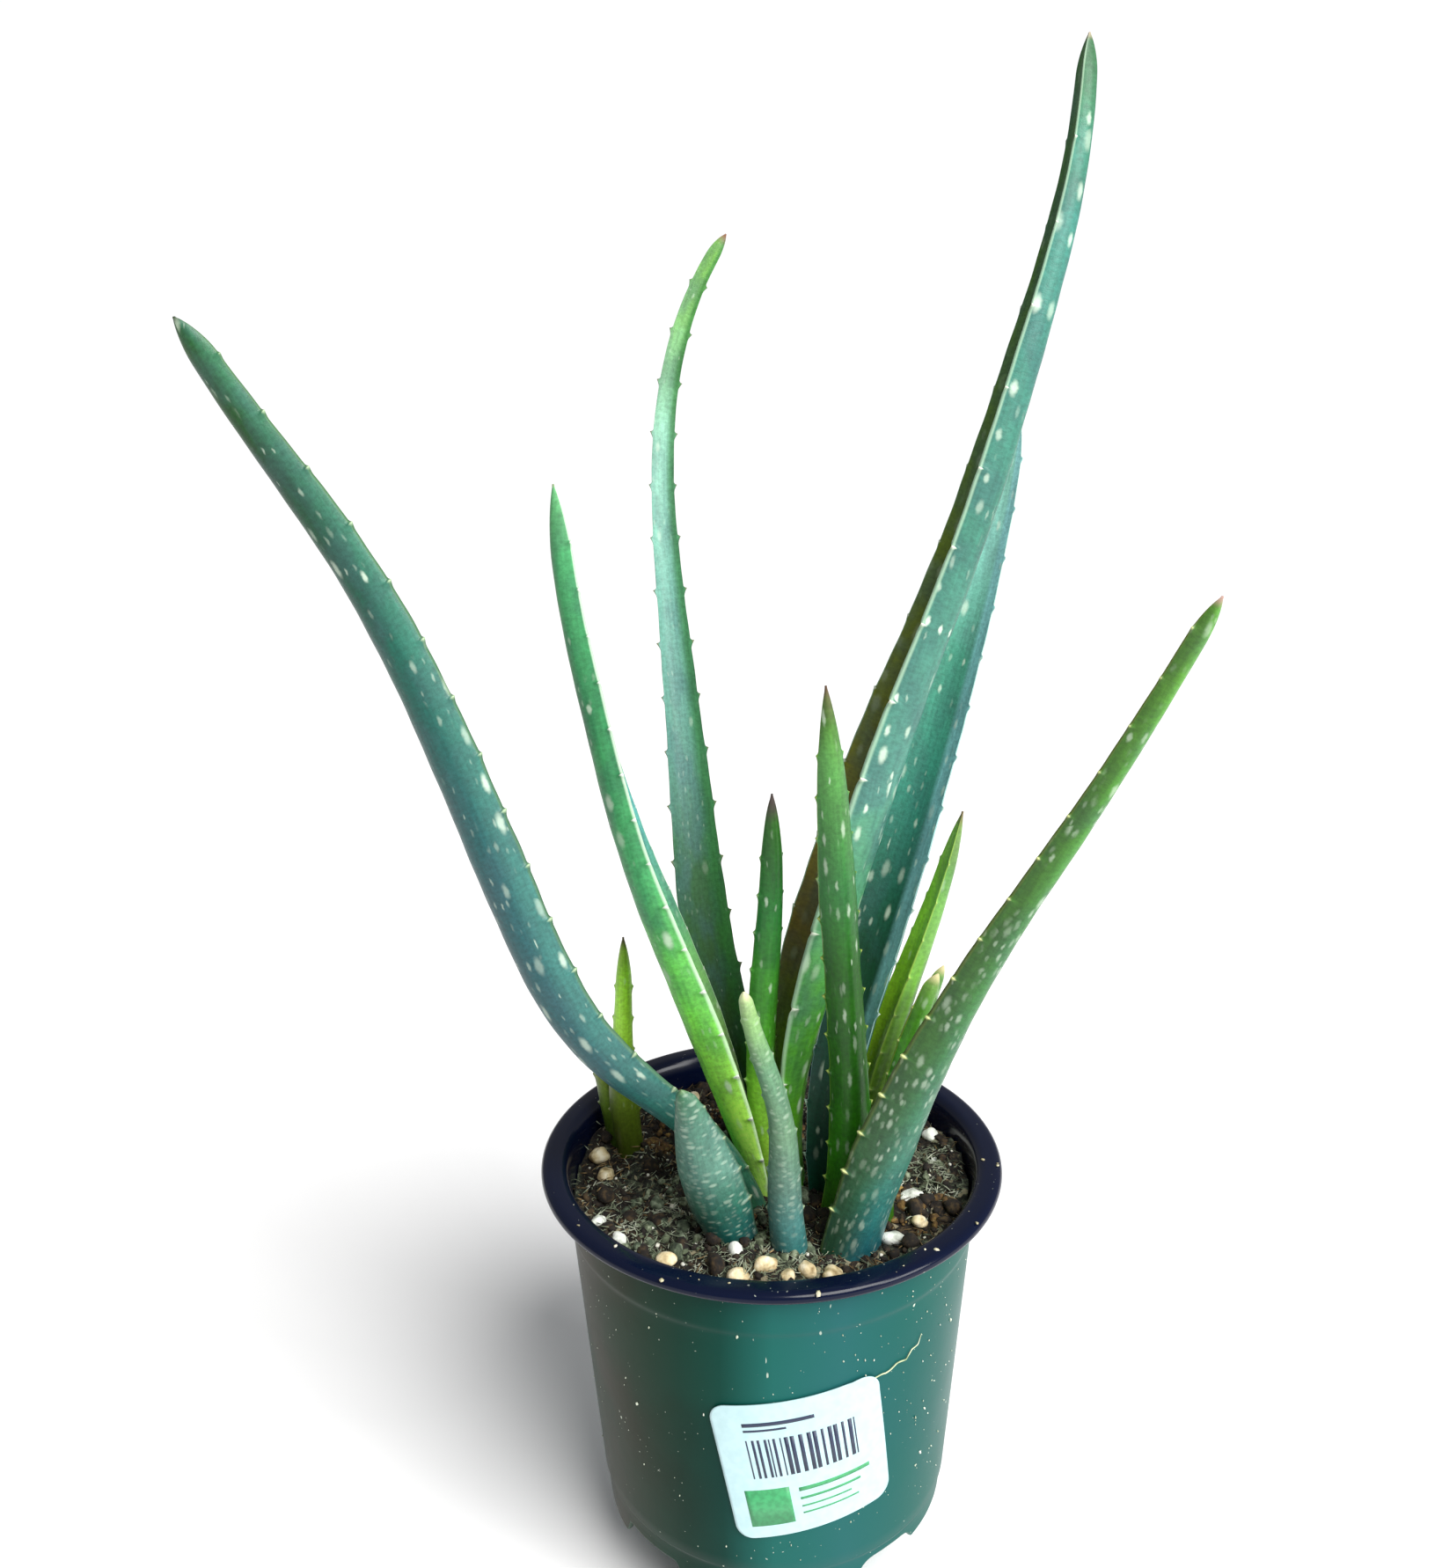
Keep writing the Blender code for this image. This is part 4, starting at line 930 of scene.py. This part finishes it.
def print_piece(name, boxes):
    """Printed marks: flat patches on the sticker from boxes of (left, low, right, high)."""
    points, quads, start = [], [], 0
    for left, low, right, high in boxes:
        columns = max(int((right - left) / 0.8), 1) + 1
        across, up = np.meshgrid(np.linspace(left, right, columns), (low, high))
        points += [on_label(across, up, lift).reshape(-1, 3) for lift in PRINT_LIFTS]
        quads.append(sheet_faces(2, columns) + start)
        start += 4 * columns
    return make_piece(name, np.concatenate(points), np.concatenate(quads))


def ink(name, code):
    """Printing ink: one colour, a little uneven."""
    material, tree, shader = new_material(name)
    patch = noise(object_spot(tree), 900.0, 2.0)[0]
    dress(shader, shaded(tone(code), between(patch, 0.3, 0.7, 0.85, 1.15)), 0.45)
    return material


def stripe_boxes():
    """Upright stripes of uneven width and spacing, drawn by a seeded rule."""
    rng = np.random.default_rng(21)
    boxes, left = [], -11.5
    while left < 11.6:
        wide = rng.choice([0.3, 0.55, 0.85])
        boxes.append((left, -1.6, left + wide, 8.2))
        left += wide + rng.choice([0.35, 0.6, 0.9])
    return boxes


finish_piece(sticker_piece(), sticker_skin(), "label_paper", "label")
for name, boxes, ink_name, code in (
        ("label_stripes", stripe_boxes() + DARK_RULES, "label_ink_dark", "#27304a"),
        ("label_square", GREEN_MARKS, "label_ink_green", "#3f9a62")):
    finish_piece(print_piece(name, boxes), ink(ink_name, code), "label_paper")


# ---- soil and loose bits


def soil_level(x, y):
    """Height of the soil's top: a low hump, slow rolls, and lumps and crumbs from four sizes of noise."""
    reach = np.minimum(np.hypot(x, y) / SOIL_RADIUS, 1.0)
    rolling = 0.5 * np.sin(0.21 * x + 0.9) * np.cos(0.17 * y - 0.4)
    grain = 0.3 * np.sin(0.71 * x - 0.53 * y) + 0.25 * np.sin(0.47 * x + 0.83 * y + 1.7)
    level = SOIL_TOP - 1.0 + 1.6 * (1 - reach ** 2) + (rolling + grain) * (1 - 0.5 * reach)
    for height, cell, seed in ((4.2, 7.5, 5), (1.7, 3.1, 6), (1.1, 1.4, 7), (0.6, 0.7, 8)):
        level = level + height * (cloud(x, y, cell, seed) - 0.5)
    return level


def soil_piece():
    """Soil: rings of points on the rough top, then the plug's plain side and bottom."""
    radius = SOIL_RADIUS * (1 - np.linspace(0.0, 1.0, SOIL_RINGS, endpoint=False))[::-1, None]
    angle = np.linspace(0.0, 2 * np.pi, SOIL_STEPS, endpoint=False)
    side = np.array(SOIL_SIDE[:-1])
    points = np.concatenate([
        polar(radius, angle, soil_level(radius * np.cos(angle), radius * np.sin(angle))),
        polar(side[:, :1], angle, side[:, 1:])])
    count = len(points)
    top = soil_level(np.zeros(1), np.zeros(1))[0]
    ring = np.arange(SOIL_STEPS)
    triangles = np.concatenate([fan(ring, count * SOIL_STEPS),
                                fan((count - 1) * SOIL_STEPS + ring, count * SOIL_STEPS + 1)[:, ::-1]])
    points = np.concatenate([points.reshape(-1, 3), [[0, 0, top], [0, 0, SOIL_SIDE[-1][1]]]])
    return make_piece("soil_fine", points, grid_faces(count, SOIL_STEPS, True)[:, ::-1], triangles)


def soil_skin():
    """Peat: near-black brown in the hollows, partly its own dark and partly painted shade, a painted shadow round
    the plant's middle, with brown, grey-green and pale flecks on the lumps.
    """
    material, tree, shader = new_material("soil_peat")
    spot = object_spot(tree)
    crumb = noise(spot, 700.0, 6.0, 0.7)[0]
    # Both ramps run near black at the low end of the relief's noise: the peat's own dark and painted shade in the
    # hollows.
    brown = ramp(crumb, "36 050403, 47 120d08, 56 2f2416, 68 6a573a")
    moss = ramp(crumb, "36 0b0d08, 47 23281c, 56 4f5844, 68 8c967c")
    mossy_part = between(noise(spot, 75.0, 4.0)[0], 0.5, 0.6)
    colour = mixed(times(mossy_part, 0.85), brown, moss)
    # Painted shadow: the soil darkens to near black round the plant's middle, where the leaves shade it.
    crown_shade_distance = node(tree, "ShaderNodeVectorMath", {0: spot, 1: (0.0, 0.008, 0.093)}, operation="DISTANCE")
    crown_shade_part = between(crown_shade_distance.outputs["Value"], 0.034, 0.02, 0.0, 0.6)
    colour = mixed(crown_shade_part, colour, tone("#080604"))
    cells = node(tree, "ShaderNodeTexVoronoi", {"Vector": spot, "Scale": 800.0}).outputs["Color"]
    bits = times(maths("GREATER_THAN", split("Color", cells)[0], 0.92), 0.7)
    dress(shader, mixed(bits, colour, tone("#a39a7c")), 0.85, (1.0, 0.001, crumb))
    return material


def unit_ball(subdivisions):
    """Points and triangles of a ball of radius 1 from a split icosahedron."""
    work = bmesh.new()
    bmesh.ops.create_icosphere(work, subdivisions=subdivisions, radius=1.0)
    points = np.array([vert.co[:] for vert in work.verts])
    faces = np.array([[vert.index for vert in face.verts] for face in work.faces])
    work.free()
    return points, faces


def rough_balls(name, centres, sizes, subdivisions, roughness, seed):
    """Many uneven lumps: each is the unit ball pushed in and out by three waves with random directions."""
    rng = np.random.default_rng(seed)
    ball, faces = unit_ball(subdivisions)
    count = len(centres)
    push = np.ones((count, len(ball)))
    for waves in (2.1, 3.7, 6.3):
        direction = unit(rng.normal(size=(count, 3)))
        phase = rng.uniform(0, 6.28, (count, 1))
        push += roughness / waves * 2.0 * np.sin(waves * direction @ ball.T + phase)
    turn = rng.uniform(0, 6.28, count)[:, None]
    x, y, z = np.moveaxis(ball[None] * push[:, :, None] * sizes[:, None, :], -1, 0)
    points = np.stack([x * np.cos(turn) - y * np.sin(turn), x * np.sin(turn) + y * np.cos(turn), z], -1)
    triangles = faces[None] + (np.arange(count) * len(ball))[:, None, None]
    return make_piece(name, (points + centres[:, None, :]).reshape(-1, 3), NO_QUADS, triangles.reshape(-1, 3))


def scatter(count, seed):
    """Random places on the soil, with the height of the soil there."""
    rng = np.random.default_rng(seed)
    radius = np.sqrt(rng.uniform(0.0, BITS_RADIUS ** 2, count))
    angle = rng.uniform(0, 2 * np.pi, count)
    x, y = radius * np.cos(angle), radius * np.sin(angle)
    return np.stack([x, y, soil_level(x, y)], 1)


def thinned(places, share, rng):
    """The places that a share from 0 to 1 keeps."""
    return places[share(places[:, 0], places[:, 1]) > rng.random(len(places))]


def fibres(name, count, length, thick, seed, share):
    """Loose fibres: bent three-sided slivers lying on the soil, tapered to both ends."""
    rng = np.random.default_rng(seed)
    foot = thinned(scatter(count * 3, seed + 1), share, rng)[:count]
    count = len(foot)
    heading = rng.uniform(0, 2 * np.pi, count)
    curl = rng.normal(0, 0.5, count)
    reach = length * rng.uniform(0.4, 1.3, count)
    rings = 5
    part = np.linspace(-0.5, 0.5, rings)
    bearing = heading[:, None] + curl[:, None] * part
    x = foot[:, :1] + np.cumsum(np.cos(bearing) * reach[:, None] / rings, 1)
    y = foot[:, 1:2] + np.cumsum(np.sin(bearing) * reach[:, None] / rings, 1)
    level = foot[:, 2:] + rng.uniform(0.1, 0.7, (count, 1)) + rng.normal(0, 0.35, (count, 1)) * part * 2
    girth = thick * rng.uniform(0.5, 1.3, (count, 1)) * (1 - (2 * part) ** 2 * 0.75)
    around = np.array([0.0, 2.1, 4.2])
    sideways = np.cos(around) * girth[:, :, None]
    points = np.stack([
        x[:, :, None] - np.sin(bearing)[:, :, None] * sideways,
        y[:, :, None] + np.cos(bearing)[:, :, None] * sideways,
        level[:, :, None] + np.sin(around) * girth[:, :, None] * 0.7], -1)
    sides = len(around)
    last = (rings - 1) * sides
    caps = np.array([[2, 1, 0], [last, last + 1, last + 2]])
    shift = (np.arange(count) * rings * sides)[:, None, None]
    return make_piece(name, points.reshape(-1, 3), (grid_faces(rings, sides, True)[None] + shift).reshape(-1, 4),
                      (caps[None] + shift).reshape(-1, 3))


def bit_skin(name, codes, roughness, scale):
    """Loose bits: three colours by noise, rough and matt."""
    material, tree, shader = new_material(name)
    spot = object_spot(tree)
    colour = ramp(noise(spot, scale, 4.0)[0], "30 {}, 50 {}, 70 {}".format(*codes.split()))
    dress(shader, colour, roughness, (0.5, 0.0004, noise(spot, scale * 4, 3.0)[0]))
    return material


def loose_bits(piece, *skin):
    """Finish a piece of loose bits with a skin of (colours, roughness, scale)."""
    finish_piece(piece, bit_skin(piece.name, *skin), "soil_peat")


def everywhere(x, y):
    """Share of bits that keep to no part of the soil: 1 at each place."""
    return np.ones_like(x)


def mossy(x, y):
    """Share of grey-green bits: high in front at the left and at the right, low in the back."""
    return np.clip(0.12 + 1.0 * np.exp(-((x + 27) ** 2 + (y + 25) ** 2) / 220.0)
                   + 0.7 * np.exp(-((x - 2) ** 2 + (y + 37) ** 2) / 160.0)
                   + 0.9 * np.exp(-((x - 37) ** 2 + (y - 2) ** 2) / 120.0), 0, 1)


def bare_of_moss(x, y):
    """Share of bark fibres: high where the moss is not."""
    return 1.05 - mossy(x, y)


def ochre(x, y):
    """Share of brown crumbs: high at the front right edge and in the back."""
    return np.clip(0.25 + 1.0 * np.exp(-((x - 38) ** 2 + (y + 18) ** 2) / 130.0) + 0.3 * (y > 5), 0, 1)


finish_piece(soil_piece(), soil_skin(), "soil_peat", "soil")
# Lumps and crumbs: how many are thrown, least size and spread, fineness, where they stay, colours, seed
for name, count, small, more, faces, share, codes, seed in (
        ("peat_lumps", 150, 0.9, 1.7, 2, everywhere, "060504 1c140c 4a3a22", 34),
        ("moss_lumps", 140, 0.9, 1.5, 2, mossy, "1a2018 4c5844 8c9880", 35),
        ("dark_crumbs", 1500, 0.28, 0.9, 1, everywhere, "080605 1c150e 3a2e20", 31),
        ("brown_crumbs", 1300, 0.28, 1.4, 1, ochre, "2a1d0e 5c4422 94783f", 32),
        ("mossy_crumbs", 1500, 0.28, 1.3, 1, mossy, "22281c 566048 9aa48a", 33)):
    places = thinned(scatter(count, seed), share, np.random.default_rng(seed))
    chance = np.random.default_rng(seed + 100).random((len(places), 1))
    sizes = small + more * chance ** 2.2 * np.array([1.0, 0.8, 0.6])
    places[:, 2] += sizes[:, 2] * 0.4
    loose_bits(rough_balls(name, places, sizes, faces, 0.32, seed), codes, 0.9, 650.0)
# Fibres: how many, length and thickness, seed, where they stay, colours
for name, count, length, thick, seed, share, codes in (
        ("moss_fibres", 4200, 2.8, 0.13, 41, mossy, "363e2e 8a957a dce0cc"),
        ("bark_fibres", 1300, 3.4, 0.16, 51, bare_of_moss, "20160c 6a5432 b89c6c")):
    loose_bits(fibres(name, count, length, thick, seed, share), codes, 0.8, 220.0)
# Pebbles sit in the soil by about half of their height, and the small grains lie on it
for name, bits, codes in (("cream_gravel", GRAVEL, "8a744c d4c298 f4ead0"),
                          ("white_perlite", PERLITE, "a8aca0 dfe3da f6f7f2")):
    x, y, *radii = np.array(bits).T
    centres = np.stack([x, y, soil_level(x, y) + radii[2] * 0.45], 1)
    loose_bits(rough_balls(name, centres, np.stack(radii, 1), 4, 0.16, 61), codes, 0.85, 420.0)
grains = scatter(150, 71)
chance = np.random.default_rng(72).random((len(grains), 1))
sizes = (0.3 + 0.55 * chance ** 2) * np.array([1.0, 0.85, 0.75])
grains[:, 2] += sizes[:, 2] * 0.6
loose_bits(rough_balls("perlite_grains", grains, sizes, 1, 0.25, 73), "b4b09a d8d6c8 f0f0ea", 0.85, 500.0)


def strand(name, path, girth):
    """Thin root hair: a five-sided tube along a path, tapered to both ends."""
    count, sides = len(path), 5
    outward = unit(path * [1.0, 1.0, 0.0])
    aside = np.cross(unit(np.gradient(path, axis=0)), outward)
    size = girth * (0.35 + 0.65 * np.sin(np.linspace(0.0, np.pi, count)))[:, None, None]
    turn = (2 * np.pi * np.arange(sides) / sides)[:, None]
    points = path[:, None] + size * (outward[:, None] * np.cos(turn) + aside[:, None] * np.sin(turn))
    second = np.arange(1, sides - 1)
    low = np.stack([np.zeros_like(second), second + 1, second], 1)
    high = np.stack([np.zeros_like(second), second, second + 1], 1) + (count - 1) * sides
    return make_piece(name, points.reshape(-1, 3), grid_faces(count, sides, True), np.concatenate([low, high]))


# Root hair on the wall, with a slight ripple that grows along it
steps = np.linspace(0.0, 1.0, 60)
turns, heights = read_line(steps, np.linspace(0.0, 1.0, len(HAIR)), np.array(HAIR)).T
path = on_wall(np.radians(turns), heights + 0.25 * np.sin(31.0 * steps) * steps, 0.25)
loose_bits(strand("root_hair", path, 0.17), "8a9a70 c8d0a8 e0e4c8", 0.7, 300.0)

# Flakes on the wall: the marked ones, most of the rest at the right, fewer all round the front
rng = np.random.default_rng(81)
right, all_round = 110, 90
turns = np.concatenate([rng.normal(34.0, 20.0, right), rng.uniform(-75.0, 75.0, all_round)])
heights = np.concatenate([93.0 - 62.0 * rng.random(right) ** 1.3, rng.uniform(26.0, 94.0, all_round)])
marked = np.array(WALL_BITS)
places = np.concatenate([on_wall(np.radians(marked[:, 0]), marked[:, 1], 0.12),
                         on_wall(np.radians(turns), heights, 0.08)])
sizes = np.concatenate([rng.uniform(0.25, 0.4, (len(marked), 1)),
                        0.08 + 0.17 * rng.random((len(turns), 1)) ** 2.5])
loose_bits(rough_balls("wall_bits", places, sizes * np.array([1.0, 0.6, 1.1]), 1, 0.3, 82),
           "9aa48a ccd4c0 eef0e4", 0.8, 300.0)

# Crumbs on the rim
marked = np.array(RIM_BITS)
count = 20
turns = rng.uniform(0.0, 2 * np.pi, count)
out = rng.uniform(49.4, 53.0, count)
places = np.concatenate([np.column_stack([marked, np.full(len(marked), 99.1)]),
                         polar(out, turns, np.interp(out, [52.4, 53.5], [99.0, 98.6]) + 0.05)])
sizes = np.concatenate([rng.uniform(0.4, 0.65, (len(marked), 1)), 0.1 + 0.25 * rng.random((count, 1)) ** 2.0])
loose_bits(rough_balls("rim_crumbs", places, sizes * np.array([1.3, 0.8, 0.5]), 1, 0.35, 83),
           "5c5238 b8b08c e4e0cc", 0.85, 300.0)


# ---- light, floor and camera


def put(name, data, place, right, up, back):
    """Add a lamp or a camera at a place, with its own three axes."""
    made = bpy.data.objects.new(name, data)
    made.matrix_world = Matrix([*zip(right, up, back, place), (0, 0, 0, 1)])
    bpy.context.scene.collection.objects.link(made)
    return made


def lamp(name, kind, place, target, power, colour, **settings):
    """Lamp that looks at a target."""
    data = bpy.data.lights.new(name, kind)
    for key, value in dict(energy=power, color=colour, **settings).items():
        setattr(data, key, value)
    back = unit(np.array(place) - np.array(target))
    right = unit(np.cross(UP, back))
    put(name, data, place, right, np.cross(back, right), back)


lamp("daylight", "SUN", (0.62, -0.85, 1.1), (0.0, 0.0, 0.0), 3.8, (1.0, 0.99, 0.97), angle=math.radians(36.0))
lamp("window", "AREA", (0.7, -0.4, 0.45), (0.0, 0.0, 0.16), 4.0, (1.0, 1.0, 1.0), shape="SQUARE", size=0.35)

world = bpy.data.worlds.new("studio")
world.use_nodes = True
tree = world.node_tree
sky = tree.nodes["Background"]
sky.inputs["Color"].default_value = (0.98, 0.99, 1.0, 1.0)
seen = node(tree, "ShaderNodeLightPath").outputs["Is Camera Ray"]
wire(maths("MULTIPLY_ADD", seen, SKY_SEEN - SKY_LIGHT, SKY_LIGHT), sky.inputs["Strength"])
bpy.context.scene.world = world
bpy.context.scene.view_settings.view_transform = "Standard"

corners = np.array([[-1, -1, 0], [1, -1, 0], [1, 1, 0], [-1, 1, 0]]) * FLOOR_REACH + [0, 0, -0.02]
floor = make_piece("floor", corners, np.array([[0, 1, 2, 3]]))
material, tree, shader = new_material("floor_pale")
dress(shader, (0.97, 0.97, 0.98, 1.0), 0.9)
floor.data.materials.append(material)

lens = bpy.data.cameras.new("camera")
lens.sensor_width = 36.0
lens.lens = FOCAL_PIXELS / FRAME_HEIGHT * lens.sensor_width
lens.shift_y = (CENTRE_ROW - FRAME_HEIGHT / 2) / FRAME_HEIGHT
lens.clip_start = 0.01
bpy.context.scene.camera = put("camera", lens, CAMERA_PLACE, CAMERA_RIGHT, CAMERA_UP, [-x for x in CAMERA_AHEAD])
